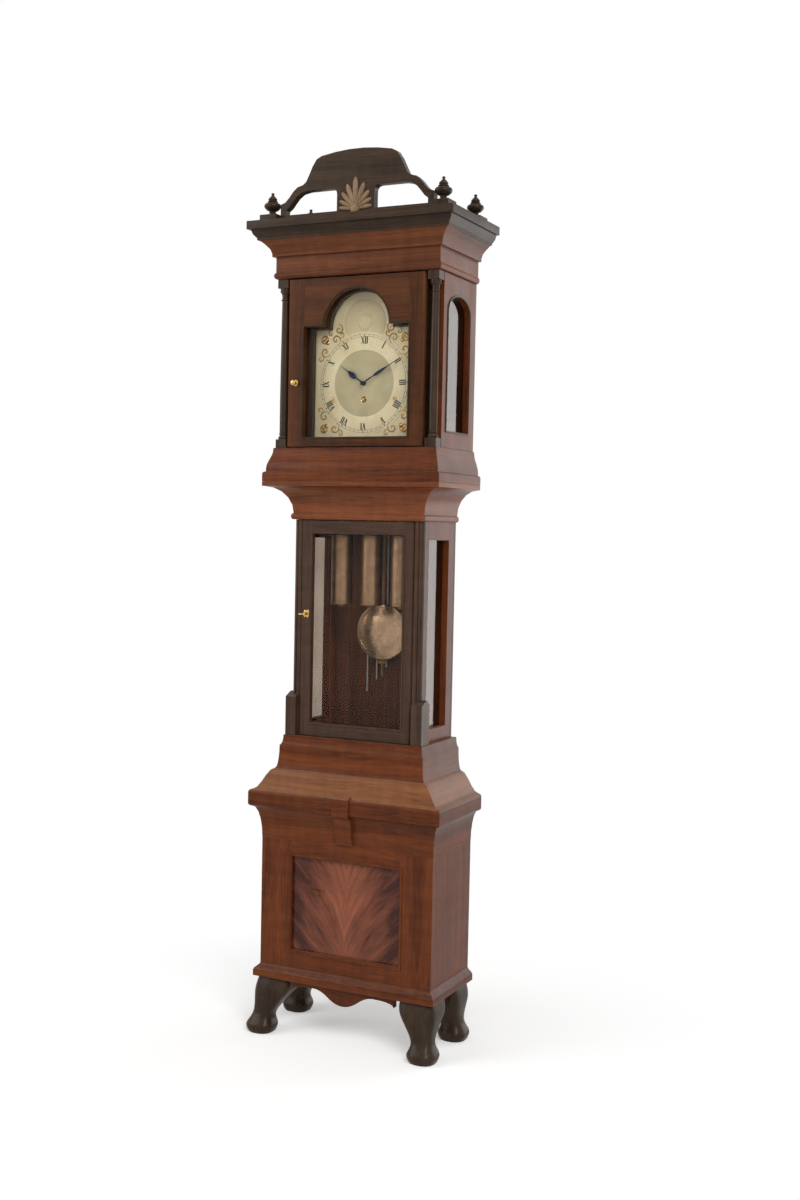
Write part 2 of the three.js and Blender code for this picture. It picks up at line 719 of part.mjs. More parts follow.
function basePlinth() {
  const outer = grown([BASE_HALF, BASE_FRONT], PLINTH_OVERHANG);
  const flatTop = PLINTH_BASE + PLINTH_FLAT;
  const top = BASE_BOTTOM - SEAT_GAP;
  const inner = grown([BASE_HALF, BASE_FRONT], -BOARD);
  const ring = wrapped([
    [...inner, PLINTH_BASE],
    [...outer, PLINTH_BASE],
    ...moulded([...outer, flatTop], [BASE_HALF, BASE_FRONT, top], OGEE),
    [...inner, top],
  ]);
  const [boardHalf, boardFront] = [inner[0] + OVERCUT, inner[1] - OVERCUT];
  const board = block(-boardHalf, boardHalf, boardFront, BACK_Y, PLINTH_BASE, PLINTH_BASE + BOTTOM_BOARD);
  const footReach = FOOT_KNEE - FOOT_OVERHANG + APRON_FOOT_GAP;
  const apron = apronOutline(BASE_HALF - footReach);
  const front = boardFacingFront(apron, BASE_FRONT, BASE_FRONT + APRON_THICKNESS);
  return join(ring, board, front);
}

const PANEL_HALF = PANEL_OPENING_WIDTH / 2;
const PANEL_BOTTOM = BASE_BOTTOM + PANEL_BOTTOM_RAIL;
const PANEL_TOP = BASE_TOP - PANEL_TOP_RAIL;

function baseCase() {
  const frontBack = BASE_FRONT + FRAME_THICKNESS;
  const front = block(-BASE_HALF, BASE_HALF, BASE_FRONT, frontBack, BASE_BOTTOM, BASE_TOP);
  const side = block(BASE_HALF - BOARD, BASE_HALF, BASE_FRONT + OVERCUT, BACK_Y, BASE_BOTTOM, BASE_TOP);
  const past = frontBack + OVERCUT;
  const opening = block(-PANEL_HALF, PANEL_HALF, BASE_FRONT - OVERCUT, past, PANEL_BOTTOM, PANEL_TOP);
  const reach = PANEL_LAP + SEAT_GAP;
  const [half, low, high] = [PANEL_HALF + reach, PANEL_BOTTOM - reach, PANEL_TOP + reach];
  const rebate = block(-half, half, BASE_FRONT + PANEL_SET_BACK, past, low, high);
  return cut(join(front, side, mirrored(side)), opening, rebate);
}

function baseFrontPanel() {
  const y0 = BASE_FRONT + PANEL_SET_BACK + SEAT_GAP;
  const lap = rectangle(-PANEL_HALF - PANEL_LAP, PANEL_HALF + PANEL_LAP, PANEL_BOTTOM - PANEL_LAP,
    PANEL_TOP + PANEL_LAP);
  const board = boardFacingFront(lap, y0, y0 + PANEL_THICKNESS);
  const half = FIELD_WIDTH / 2 - FIELD_BEVEL;
  const radius = FIELD_WIDTH * FIELD_ARCH_SHARE - FIELD_BEVEL;
  const bottom = PANEL_BOTTOM + FIELD_MARGIN + FIELD_BEVEL;
  const shoulder = PANEL_TOP - FIELD_MARGIN - FIELD_BEVEL - radius;
  const field = new THREE.ExtrudeGeometry(breakArch(half, bottom, shoulder, radius), {
    depth: OVERCUT,
    bevelEnabled: true,
    bevelThickness: FIELD_RISE,
    bevelSize: FIELD_BEVEL,
    bevelSegments: 1,
    curveSegments: SMALL_SIDES,
  });
  field.rotateX(Math.PI / 2).translate(0, y0 + OVERCUT, 0);
  return join(board, field);
}

function keyBlock() {
  const back = BASE_FRONT + BOARD / 2;
  const top = LIP_TOP + KEY_BLOCK_STAND;
  const bottom = BASE_TOP + KEY_BLOCK_STAND;
  const middle = (bottom + top) / 2;
  const belly = [BASE_FRONT - KEY_BLOCK_BELLY, (bottom + middle) / 2];
  const [face, brow] = [BASE_FRONT - KEY_BLOCK_STAND, LEDGE_FRONT - KEY_BLOCK_STAND];
  const shape = new THREE.Shape();
  shape.moveTo(back, bottom);
  shape.lineTo(face, bottom);
  shape.bezierCurveTo(...belly, face, middle, brow, COVE_TOP);
  shape.lineTo(brow, LIP_TOP);
  shape.lineTo(LEDGE_FRONT + KEY_BLOCK_STAND, top);
  shape.lineTo(back, top);
  return boardFacingSide(shape, -KEY_BLOCK_WIDTH / 2, KEY_BLOCK_WIDTH / 2);
}

function hingePin(x, y, z0, z1) {
  return uprightPin(PIN_DIAMETER, x, y, z0, z1);
}

const TRUNK_HINGE = [TRUNK_DOOR_HALF - HINGE_INSET, TRUNK_FRONT + HINGE_INSET];
const HOOD_HINGE = [HOOD_DOOR_HALF - HINGE_INSET, HOOD_FRONT + HINGE_INSET];

function baseTopMoulding() {
  const base = [BASE_HALF, BASE_FRONT];
  const ledge = [LEDGE_HALF, LEDGE_FRONT];
  const trunkFoot = [TRUNK_FOOT_HALF, TRUNK_FOOT_FRONT];
  const trunk = [TRUNK_HALF, TRUNK_FRONT];
  const cap = grown(trunk, TRUNK_FOOT_CAP_STEP);
  const capBottom = TRUNK_BASE - TRUNK_FOOT_CAP_HEIGHT;
  const seat = grown(trunk, POST_BLOCK_STAND + SLIDE_GAP);
  const bottom = BASE_TOP + SEAT_GAP;
  const nose = grown(ledge, -LIP_ROUND);
  const baseInner = grown(base, -BOARD);
  const trunkInner = [TRUNK_INNER_HALF, TRUNK_INNER_FRONT];
  const shelf = LIP_TOP - SHELF_DROP;
  const ring = wrapped([
    ...moulded([...base, bottom], [...nose, COVE_TOP], HOLLOW),
    ...moulded([...nose, COVE_TOP], [...ledge, COVE_TOP + LIP_ROUND], ROUND).slice(1),
    ...moulded([...ledge, LIP_TOP - LIP_ROUND], [...nose, LIP_TOP], HOLLOW),
    ...moulded([...nose, LIP_TOP], [...trunkFoot, LEDGE_TOP], SLOPING_OGEE).slice(1),
    ...moulded([...trunkFoot, LEDGE_TOP], [...cap, capBottom], ROUND).slice(1),
    ...moulded([...cap, capBottom], [...seat, TRUNK_BASE], ROUND).slice(1),
    [...trunkInner, TRUNK_BASE],
    [...trunkInner, shelf],
    [...baseInner, shelf],
    [...baseInner, bottom],
  ]);
  const pin = hingePin(...TRUNK_HINGE, TRUNK_BASE - PIN_LENGTH, TRUNK_BASE + PIN_LENGTH);
  return cut(join(ring, keyBlock(), pin), backboardPocket());
}

// Trunk

function backboardOutline(growth = 0) {
  const baseHalf = BASE_HALF - BOARD - SEAT_GAP;
  const hoodHalf = HOOD_INNER_HALF - HOOD_BACK_GAP;
  const shelf = LIP_TOP - SHELF_DROP - SEAT_GAP;
  const ear = HOOD_FLOOR + SLIDE_GAP;
  const right = [
    [baseHalf + growth, BASE_BOTTOM + SEAT_GAP - growth],
    [baseHalf + growth, shelf],
    [TRUNK_HALF + growth, shelf],
    [TRUNK_HALF + growth, ear],
    [hoodHalf + growth, ear],
    [hoodHalf + growth, CORNICE_TOP - BACKBOARD_TOP_DROP + growth],
  ];
  const left = right.map(([x, z]) => [-x, z]).reverse();
  return outlineOf([...right, ...left]);
}

function backboard() {
  return boardFacingFront(backboardOutline(), BACKBOARD_FRONT, BACK_Y);
}

function backboardPocket() {
  return boardFacingFront(backboardOutline(SEAT_GAP), BACKBOARD_FRONT - SEAT_GAP, BACK_Y + OVERCUT);
}

const TRUNK_WINDOW = {
  y0: TRUNK_FRONT + SIDE_WINDOW_FRONT,
  y1: BACKBOARD_FRONT - SIDE_WINDOW_BACK,
  z0: TRUNK_BASE + SIDE_WINDOW_FOOT,
  z1: TRUNK_TOP - SIDE_WINDOW_HEAD,
};

// A plinth block under the bead of a front corner, with a sloping top
function postBlock() {
  const [low, high] = [TRUNK_BASE + SEAT_GAP, TRUNK_BASE + POST_BLOCK_HEIGHT];
  const inside = TRUNK_INNER_HALF + POST_BLOCK_INSET;
  const outside = TRUNK_HALF + POST_BLOCK_STAND;
  const front = TRUNK_FRONT - POST_BLOCK_STAND;
  const back = TRUNK_FRONT + POST_BLOCK_DEPTH;
  const shape = new THREE.Shape();
  shape.moveTo(back, low);
  shape.lineTo(back, high - POST_BLOCK_CAP);
  shape.lineTo(back - POST_BLOCK_CAP, high);
  shape.lineTo(TRUNK_FRONT + POST_BLOCK_CAP, high);
  shape.lineTo(front, high - POST_BLOCK_CAP);
  shape.lineTo(front, low);
  return boardFacingSide(shape, inside, outside);
}

function trunkSide() {
  const back = BACKBOARD_FRONT - SEAT_GAP;
  const beadX = TRUNK_HALF - POST_BEAD;
  const beadY = TRUNK_FRONT + POST_BEAD;
  const plan = new THREE.Shape();
  plan.moveTo(TRUNK_INNER_HALF, back);
  plan.lineTo(TRUNK_INNER_HALF, TRUNK_FRONT);
  plan.lineTo(beadX - POST_QUIRK, TRUNK_FRONT);
  plan.lineTo(beadX - POST_QUIRK / 2, TRUNK_FRONT + POST_QUIRK);
  plan.absarc(beadX, beadY, POST_BEAD, -Math.PI / 2, 0, false);
  plan.lineTo(TRUNK_HALF - POST_QUIRK, beadY + POST_QUIRK / 2);
  plan.lineTo(TRUNK_HALF, beadY + POST_QUIRK);
  plan.lineTo(TRUNK_HALF, back);
  const side = post(plan, TRUNK_BASE + SEAT_GAP, SEAT_BOTTOM - SEAT_GAP);
  const { y0, y1, z0, z1 } = TRUNK_WINDOW;
  const outside = TRUNK_HALF + OVERCUT;
  const notchBack = TRUNK_INNER_FRONT + SEAT_GAP;
  const notch = block(0, outside, TRUNK_FRONT - OVERCUT, notchBack, TRUNK_TOP, CORNICE_TOP);
  const window = block(0, outside, y0, y1, z0, z1);
  const lap = GLASS_LAP + SEAT_GAP;
  const rebate = block(0, TRUNK_INNER_HALF + REBATE_DEPTH, y0 - lap, y1 + lap, z0 - lap, z1 + lap);
  return cut(join(side, postBlock()), notch, window, rebate);
}

function trunkGlass() {
  const { y0, y1, z0, z1 } = TRUNK_WINDOW;
  const x1 = TRUNK_INNER_HALF + REBATE_DEPTH - SEAT_GAP;
  return block(x1 - GLASS_THICKNESS, x1, y0 - GLASS_LAP, y1 + GLASS_LAP, z0 - GLASS_LAP, z1 + GLASS_LAP);
}

function throatMoulding() {
  const inner = [TRUNK_HALF + SEAT_GAP, TRUNK_INNER_FRONT];
  const start = grown([TRUNK_HALF, TRUNK_FRONT], SLIDE_GAP);
  const bead = grown([TRUNK_HALF, TRUNK_FRONT], THROAT_BEAD);
  const rim = [HOOD_BASE_HALF, HOOD_BASE_FRONT];
  const underRim = grown(rim, -THROAT_BEAD / 2);
  const bottom = TRUNK_TOP + SEAT_GAP;
  const beadMiddle = bottom + THROAT_BEAD;
  const rimBottom = THROAT_TOP - THROAT_FILLET;
  const ring = wrapped([
    [...inner, bottom],
    ...moulded([...start, bottom], [...bead, beadMiddle], ROUND),
    ...moulded([...bead, beadMiddle], [...start, beadMiddle + THROAT_BEAD], HOLLOW).slice(1),
    ...moulded([...start, beadMiddle + THROAT_BEAD], [...underRim, rimBottom], HOLLOW).slice(1),
    [...rim, rimBottom],
    [...rim, THROAT_TOP],
    [...inner, THROAT_TOP],
  ]);
  const pin = hingePin(...TRUNK_HINGE, TRUNK_TOP - PIN_LENGTH, TRUNK_TOP + PIN_LENGTH);
  return cut(join(ring, pin), backboardPocket());
}

function seatboard() {
  const front = DIAL_BACK + SLIDE_GAP;
  const board = block(-TRUNK_HALF, TRUNK_HALF, front, BACKBOARD_FRONT - SEAT_GAP, SEAT_BOTTOM, SEAT_TOP);
  const below = SEAT_BOTTOM - OVERCUT;
  const above = SEAT_TOP + OVERCUT;
  const [slotHalf, slotReach] = [CABLE_SLOT_WIDTH / 2, CABLE_SLOT_LENGTH / 2];
  const cable = WEIGHT_XS.flatMap((x) => [
    block(-slotHalf, slotHalf, -slotReach, slotReach, below, above).translate(x - CABLE_PITCH, CABLE_Y, 0),
    uprightPin(CABLE_DIAMETER + 2 * PIVOT_GAP, x + CABLE_PITCH, CABLE_Y, below, above),
  ]);
  const rodFront = PENDULUM_Y - ROD_THICKNESS / 2 - SLIDE_GAP;
  const rodSlot = block(-ROD_SLOT_WIDTH / 2, ROD_SLOT_WIDTH / 2, rodFront, BACK_Y, below, above);
  return cut(board, rodSlot, ...cable);
}

// Doors

function roundedDoorPlan(half, front, [hingeX, hingeY]) {
  const plan = new THREE.Shape();
  plan.moveTo(-half, front);
  plan.lineTo(hingeX, front);
  plan.absarc(hingeX, hingeY, HINGE_INSET, -Math.PI / 2, Math.PI / 2, false);
  plan.lineTo(-half, front + FRAME_THICKNESS);
  return plan;
}

function doorFrame(half, front, z0, z1, hinge, opening, rebate) {
  const back = front + FRAME_THICKNESS;
  const slab = post(roundedDoorPlan(half, front, hinge), z0, z1);
  const through = boardFacingFront(opening, front - OVERCUT, back + OVERCUT, ARCH_STEPS);
  const seat = boardFacingFront(rebate, back - REBATE_DEPTH - GLASS_THICKNESS, back + OVERCUT, ARCH_STEPS);
  const bore = PIN_DIAMETER + 2 * PIVOT_GAP;
  const depth = PIN_LENGTH + PIVOT_GAP;
  const low = uprightPin(bore, ...hinge, z0 - OVERCUT, z0 + depth, ROUND_SIDES);
  const high = uprightPin(bore, ...hinge, z1 - depth, z1 + OVERCUT, ROUND_SIDES);
  return cut(slab, through, seat, low, high);
}

const TRUNK_DOOR = {
  z0: TRUNK_BASE + DOOR_GAP,
  z1: TRUNK_TOP - DOOR_GAP,
  half: TRUNK_DOOR_HALF - DOOR_STILE,
};
const KEY_X = DOOR_STILE / 2 - TRUNK_DOOR_HALF;

function trunkDoorOpening(growth) {
  const { z0, z1, half } = TRUNK_DOOR;
  return rectangle(-half - growth, half + growth, z0 + DOOR_RAIL - growth, z1 - DOOR_RAIL + growth);
}

function trunkDoorFrame() {
  const { z0, z1 } = TRUNK_DOOR;
  const frame = doorFrame(TRUNK_DOOR_HALF, TRUNK_FRONT, z0, z1, TRUNK_HINGE, trunkDoorOpening(0),
    trunkDoorOpening(GLASS_LAP + SEAT_GAP));
  const keyhole = levelPin(KEY_SHANK_DIAMETER + 2 * PIVOT_GAP, KEY_X, KEY_HEIGHT, TRUNK_FRONT - OVERCUT,
    TRUNK_FRONT + KEY_INSERT + SLIDE_GAP);
  return cut(frame, keyhole);
}

function doorGlass(outline, front) {
  const y0 = front + FRAME_THICKNESS - REBATE_DEPTH - GLASS_THICKNESS + SEAT_GAP;
  return boardFacingFront(outline, y0, y0 + GLASS_THICKNESS, ARCH_STEPS);
}

function trunkDoorKey() {
  const front = TRUNK_FRONT - KEY_STAND;
  const shankFront = front + KEY_BOW_HEIGHT / 2 - KEY_BOW_THICKNESS / 2;
  const shank = levelPin(KEY_SHANK_DIAMETER, KEY_X, KEY_HEIGHT, shankFront, TRUNK_FRONT + KEY_INSERT);
  const bow = new THREE.Shape();
  const [across, along] = [KEY_BOW / 2, KEY_BOW_HEIGHT / 2];
  bow.absellipse(0, 0, across, along, 0, 2 * Math.PI, false);
  const eye = new THREE.Path();
  eye.absellipse(0, 0, across - KEY_BOW_THICKNESS, along - KEY_BOW_THICKNESS, 0, 2 * Math.PI, true);
  bow.holes.push(eye);
  const ring = extruded(bow, KEY_BOW_THICKNESS, PIN_SIDES)
    .translate(KEY_X, front, KEY_HEIGHT - KEY_BOW_THICKNESS / 2);
  return join(shank, ring);
}

const HOOD_DOOR = {
  z0: HOOD_FLOOR + HOOD_DOOR_GAP,
  z1: CORNICE_BOTTOM - HOOD_DOOR_GAP,
};

// The door's opening follows the dial: it clears the dial at the sides and stops at its edge below
function hoodDoorOpening(growth) {
  const half = HOOD_DOOR_HALF - HOOD_DOOR_STILE;
  const bottom = HOOD_DOOR.z0 + HOOD_DOOR_RAIL;
  return breakArch(half, bottom, DIAL_SHOULDER, DIAL_ARCH_RADIUS, growth);
}

function hoodDoorFrame() {
  const { z0, z1 } = HOOD_DOOR;
  return doorFrame(HOOD_DOOR_HALF, HOOD_FRONT, z0, z1, HOOD_HINGE, hoodDoorOpening(0),
    hoodDoorOpening(GLASS_LAP + SEAT_GAP));
}

function hoodDoorKnob() {
  const x = HOOD_DOOR_STILE / 2 - HOOD_DOOR_HALF;
  const back = HOOD_FRONT - SEAT_GAP;
  const front = back - KNOB_STAND;
  const [radius, neck] = [KNOB_DIAMETER / 2, KNOB_NECK_DIAMETER / 2];
  const rose = back - KNOB_ROSE_THICKNESS;
  const head = steps.map((t) => [
    radius * Math.sin(t * Math.PI * KNOB_ROUND_SHARE),
    front + radius * (1 - Math.cos(t * Math.PI * KNOB_ROUND_SHARE)),
  ]);
  const foot = [[neck, rose], [radius, rose], [radius, back], [0, back]];
  return turnedLevel([...head, ...foot], x, CENTRE_Z, PIN_SIDES);
}

// Hood

function hoodBaseMoulding() {
  const rim = [HOOD_BASE_HALF, HOOD_BASE_FRONT];
  const step = grown(rim, -HOOD_BASE_FILLET / 2);
  const top = grown([HOOD_HALF, HOOD_FRONT], HOOD_BASE_STEP);
  const inner = [TRUNK_HALF + SLIDE_GAP, MASK_BACK + SEAT_GAP];
  const bottom = THROAT_TOP + SEAT_GAP;
  const nose = bottom + HOOD_BASE_NOSE;
  const curveStart = nose + HOOD_BASE_FILLET;
  const ring = wrapped([
    [...inner, bottom],
    [...rim, bottom],
    ...moulded([...rim, nose], [...step, nose + HOOD_BASE_FILLET / 2], HOLLOW),
    ...moulded([...step, curveStart], [...top, HOOD_FLOOR - HOOD_BASE_STEP], OGEE),
    [...top, HOOD_FLOOR],
    [...inner, HOOD_FLOOR],
  ]);
  const pin = hingePin(...HOOD_HINGE, HOOD_FLOOR - PIN_LENGTH, HOOD_FLOOR + PIN_LENGTH);
  return join(ring, pin);
}

function hoodWindow(growth) {
  const y0 = MASK_FRONT + HOOD_WINDOW_MARGIN - growth;
  const y1 = BACKBOARD_FRONT - HOOD_WINDOW_MARGIN + growth;
  const z0 = HOOD_FLOOR + HOOD_WINDOW_FOOT - growth;
  const z1 = CORNICE_BOTTOM - HOOD_WINDOW_HEAD - HOOD_WINDOW_ARCH;
  const shape = new THREE.Shape();
  shape.moveTo(y0, z0);
  shape.lineTo(y1, z0);
  shape.lineTo(y1, z1);
  shape.absellipse((y0 + y1) / 2, z1, (y1 - y0) / 2, HOOD_WINDOW_ARCH + growth, 0, Math.PI, false);
  return shape;
}

function hoodSide() {
  const outline = rectangle(MASK_FRONT, BACK_Y, HOOD_FLOOR + SEAT_GAP, CORNICE_BOTTOM - SEAT_GAP);
  const board = boardFacingSide(outline, HOOD_INNER_HALF, HOOD_HALF);
  const inside = HOOD_INNER_HALF - OVERCUT;
  const opening = boardFacingSide(hoodWindow(0), inside, HOOD_HALF + OVERCUT, ARCH_STEPS);
  const rebate = hoodWindow(GLASS_LAP + SEAT_GAP);
  const seat = boardFacingSide(rebate, inside, HOOD_INNER_HALF + REBATE_DEPTH, ARCH_STEPS);
  return cut(board, opening, seat);
}

function hoodGlass() {
  const x1 = HOOD_INNER_HALF + REBATE_DEPTH - SEAT_GAP;
  return boardFacingSide(hoodWindow(GLASS_LAP), x1 - GLASS_THICKNESS, x1, ARCH_STEPS);
}

function hoodColumn() {
  const x = HOOD_HALF - COLUMN_BLOCK / 2;
  const y = HOOD_FRONT + COLUMN_BLOCK / 2;
  const half = COLUMN_BLOCK / 2;
  const bottom = HOOD_FLOOR + SEAT_GAP;
  const top = CORNICE_BOTTOM - SEAT_GAP;
  const plinth = block(x - half, x + half, y - half, y + half, bottom, bottom + COLUMN_BLOCK_HEIGHT);
  const abacus = block(x - half, x + half, y - half, y + half, top - COLUMN_BLOCK_HEIGHT, top);
  const [foot, neck] = [COLUMN_FOOT_DIAMETER / 2, COLUMN_NECK_DIAMETER / 2];
  const ring = COLUMN_RING_DIAMETER / 2;
  const low = bottom + COLUMN_BLOCK_HEIGHT - OVERCUT;
  const high = top - COLUMN_BLOCK_HEIGHT + OVERCUT;
  const slope = (COLUMN_RING_HEIGHT - COLUMN_RING_FACE) / 2;
  const torus = (z, inner) => [
    [inner, z],
    [ring, z + slope],
    [ring, z + slope + COLUMN_RING_FACE],
    [inner, z + COLUMN_RING_HEIGHT],
  ];
  const shaft = turnedUpright([
    [0, low],
    [foot, low],
    ...torus(low + COLUMN_RING_FACE, foot),
    [foot, mix(low, high, COLUMN_TAPER_SHARE)],
    ...torus(high - COLUMN_NECK_DROP, neck),
    [neck, high - COLUMN_RING_HEIGHT],
    [ring, high],
    [0, high],
  ], x, y, SMALL_SIDES);
  return join(plinth, abacus, shaft);
}

function hoodFrontBoard() {
  const half = HOOD_INNER_HALF - SEAT_GAP;
  const top = CORNICE_TOP - ROOF_THICKNESS - SEAT_GAP;
  const outline = rectangle(-half, half, HOOD_FLOOR + SEAT_GAP, top);
  const board = boardFacingFront(outline, MASK_FRONT, MASK_BACK);
  const sight = breakArch(DIAL_WIDTH / 2, DIAL_BOTTOM, DIAL_SHOULDER, DIAL_ARCH_RADIUS, -DIAL_SHOW_LAP);
  return cut(board, boardFacingFront(sight, MASK_FRONT - OVERCUT, MASK_BACK + OVERCUT, ARCH_STEPS));
}

function hoodCornice() {
  const wall = [HOOD_HALF, HOOD_FRONT];
  const bead = grown(wall, CORNICE_BEAD);
  const frieze = grown(wall, FRIEZE_STEP);
  const start = grown(wall, CORNICE_CURVE_START);
  const rim = [CORNICE_HALF, CORNICE_FRONT];
  const underRim = grown(rim, -CORNICE_BEAD);
  const inner = [HOOD_INNER_HALF + SEAT_GAP, MASK_FRONT - SEAT_GAP];
  const roofSeat = grown(inner, ROOF_LAP);
  const beadMiddle = CORNICE_BOTTOM + CORNICE_BEAD_HEIGHT / 2;
  const friezeBottom = CORNICE_BOTTOM + CORNICE_BEAD_HEIGHT;
  const friezeTop = friezeBottom + FRIEZE_HEIGHT;
  const rimBottom = CORNICE_TOP - CORNICE_FILLET;
  const seatZ = CORNICE_TOP - ROOF_THICKNESS - SEAT_GAP;
  const ring = wrapped([
    [...inner, CORNICE_BOTTOM],
    ...moulded([...wall, CORNICE_BOTTOM], [...bead, beadMiddle], ROUND),
    ...moulded([...bead, beadMiddle], [...frieze, friezeBottom], HOLLOW).slice(1),
    [...frieze, friezeTop],
    [...start, friezeTop],
    ...moulded([...start, friezeTop + CORNICE_BEAD], [...underRim, rimBottom], OGEE),
    [...rim, rimBottom],
    [...rim, CORNICE_TOP],
    [...roofSeat, CORNICE_TOP],
    [...roofSeat, seatZ],
    [...inner, seatZ],
  ]);
  const pin = hingePin(...HOOD_HINGE, CORNICE_BOTTOM - PIN_LENGTH, CORNICE_BOTTOM + PIN_LENGTH);
  return join(ring, pin);
}

function hoodRoof() {
  const half = HOOD_INNER_HALF + ROOF_LAP;
  const front = MASK_FRONT - ROOF_LAP;
  return block(-half, half, front, BACK_Y, CORNICE_TOP - ROOF_THICKNESS, CORNICE_TOP);
}

// Crest and finials

const CREST_Y = CORNICE_FRONT + CREST_SET_BACK;
const FINIAL_X = CORNICE_HALF - FINIAL_INSET;
const CREST_HALF = FINIAL_X - FINIAL_BLOCK / 2 - SEAT_GAP;

function crestOutline() {
  const [crown, shoulder] = [CREST_CROWN_WIDTH / 2, CREST_SHOULDER_WIDTH / 2];
  const top = CREST_HEIGHT;
  const crownEdge = top - CREST_CROWN_RISE;
  const shape = new THREE.Shape();
  shape.moveTo(-CREST_HALF, 0);
  shape.lineTo(CREST_HALF, 0);
  shape.lineTo(CREST_HALF, CREST_END_HEIGHT);
  const endBend = mix(CREST_HALF, shoulder, CREST_END_BEND_SHARE);
  const shoulderBend = mix(CREST_HALF, shoulder, CREST_BEND_SHARE);
  const riseBend = mix(shoulder, crown, CREST_CROWN_BEND_SHARE);
  const crownBend = mix(shoulder, crown, CREST_BEND_SHARE);
  const [low, high] = [CREST_END_HEIGHT, CREST_SHOULDER_HEIGHT];
  shape.bezierCurveTo(endBend, low, shoulderBend, high, shoulder, high);
  shape.bezierCurveTo(riseBend, high, crownBend, crownEdge, crown, crownEdge);
  shape.quadraticCurveTo(0, top + CREST_CROWN_RISE, -crown, crownEdge);
  shape.bezierCurveTo(-crownBend, crownEdge, -riseBend, high, -shoulder, high);
  shape.bezierCurveTo(-shoulderBend, high, -endBend, low, -CREST_HALF, low);
  return shape;
}

function crestOpening(side) {
  const near = CREST_POST_WIDTH / 2;
  const far = CREST_HALF - CREST_RAIL;
  const shoulder = CREST_SHOULDER_WIDTH / 2;
  const [low, high] = [CREST_RAIL, CREST_SHOULDER_HEIGHT - CREST_RAIL];
  const hole = new THREE.Shape();
  hole.moveTo(side * near, low);
  hole.lineTo(side * far, low);
  hole.lineTo(side * far, CREST_END_HEIGHT - CREST_RAIL);
  const endBend = mix(far, shoulder, CREST_END_BEND_SHARE);
  const shoulderBend = mix(far, shoulder, CREST_BEND_SHARE);
  const rise = CREST_END_HEIGHT - CREST_RAIL / 2;
  hole.bezierCurveTo(side * endBend, rise, side * shoulderBend, high, side * (shoulder - CREST_RAIL), high);
  hole.lineTo(side * (near + CREST_RAIL), high);
  hole.quadraticCurveTo(side * near, high, side * near, high - CREST_RAIL);
  return hole;
}

function hoodCrest() {
  const back = CREST_Y + CREST_THICKNESS;
  const board = boardFacingFront(crestOutline(), CREST_Y, back);
  const holes = [-1, 1].map((side) => (
    boardFacingFront(crestOpening(side), CREST_Y - OVERCUT, back + OVERCUT)));
  return moved(cut(board, ...holes), 0, 0, CORNICE_TOP + SEAT_GAP);
}

function finial(side, atFront) {
  const x = side * FINIAL_X;
  const y = atFront ? CORNICE_FRONT + FINIAL_INSET : BACK_Y - FINIAL_INSET;
  const z = CORNICE_TOP + SEAT_GAP;
  const half = FINIAL_BLOCK / 2;
  const plinth = block(x - half, x + half, y - half, y + half, z, z + FINIAL_BLOCK_HEIGHT);
  const [bowl, neck] = [FINIAL_BOWL / 2, FINIAL_NECK / 2];
  const low = z + FINIAL_BLOCK_HEIGHT;
  const urn = turnedUpright([
    [0, low - OVERCUT],
    [bowl, low - OVERCUT],
    [bowl, low + FINIAL_FOOT_RISE],
    [neck, low + FINIAL_NECK_RISE],
    [bowl, low + FINIAL_BOWL_RISE],
    [bowl, low + FINIAL_SHOULDER_RISE],
    [FINIAL_WAIST / 2, low + FINIAL_WAIST_RISE],
    [FINIAL_BUD / 2, low + FINIAL_BUD_RISE],
    [neck, low + FINIAL_SPIRE_RISE],
    [FINIAL_TIP / 2, low + FINIAL_TIP_RISE],
    [0, z + FINIAL_HEIGHT],
  ], x, y, SMALL_SIDES);
  return join(plinth, urn);
}

// Dial and hands

const DIAL_FOOT_X = PLATE_WIDTH / 2 - DIAL_FOOT_INSET;
const DIAL_FOOT_ZS = [PLATE_BOTTOM + PILLAR_INSET, PLATE_TOP - PILLAR_INSET];

function dial() {
  const outline = breakArch(DIAL_WIDTH / 2, DIAL_BOTTOM, DIAL_SHOULDER, DIAL_ARCH_RADIUS);
  const plate = boardFacingFront(outline, DIAL_FRONT, DIAL_BACK, ARCH_STEPS);
  const feet = [-DIAL_FOOT_X, DIAL_FOOT_X].flatMap((x) => DIAL_FOOT_ZS.map((z) => (
    levelPin(DIAL_FOOT_DIAMETER, x, z, DIAL_BACK - OVERCUT, FRONT_PLATE_Y - SEAT_GAP))));
  const [ahead, behind] = [DIAL_FRONT - OVERCUT, DIAL_BACK + OVERCUT];
  const winding = WEIGHT_XS.map((x) => levelPin(WINDING_HOLE_DIAMETER, x, DRUM_Z, ahead, behind));
  const centre = levelPin(CENTRE_HOLE_DIAMETER, 0, CENTRE_Z, ahead, behind);
  return cut(join(plate, ...feet), centre, ...winding);
}

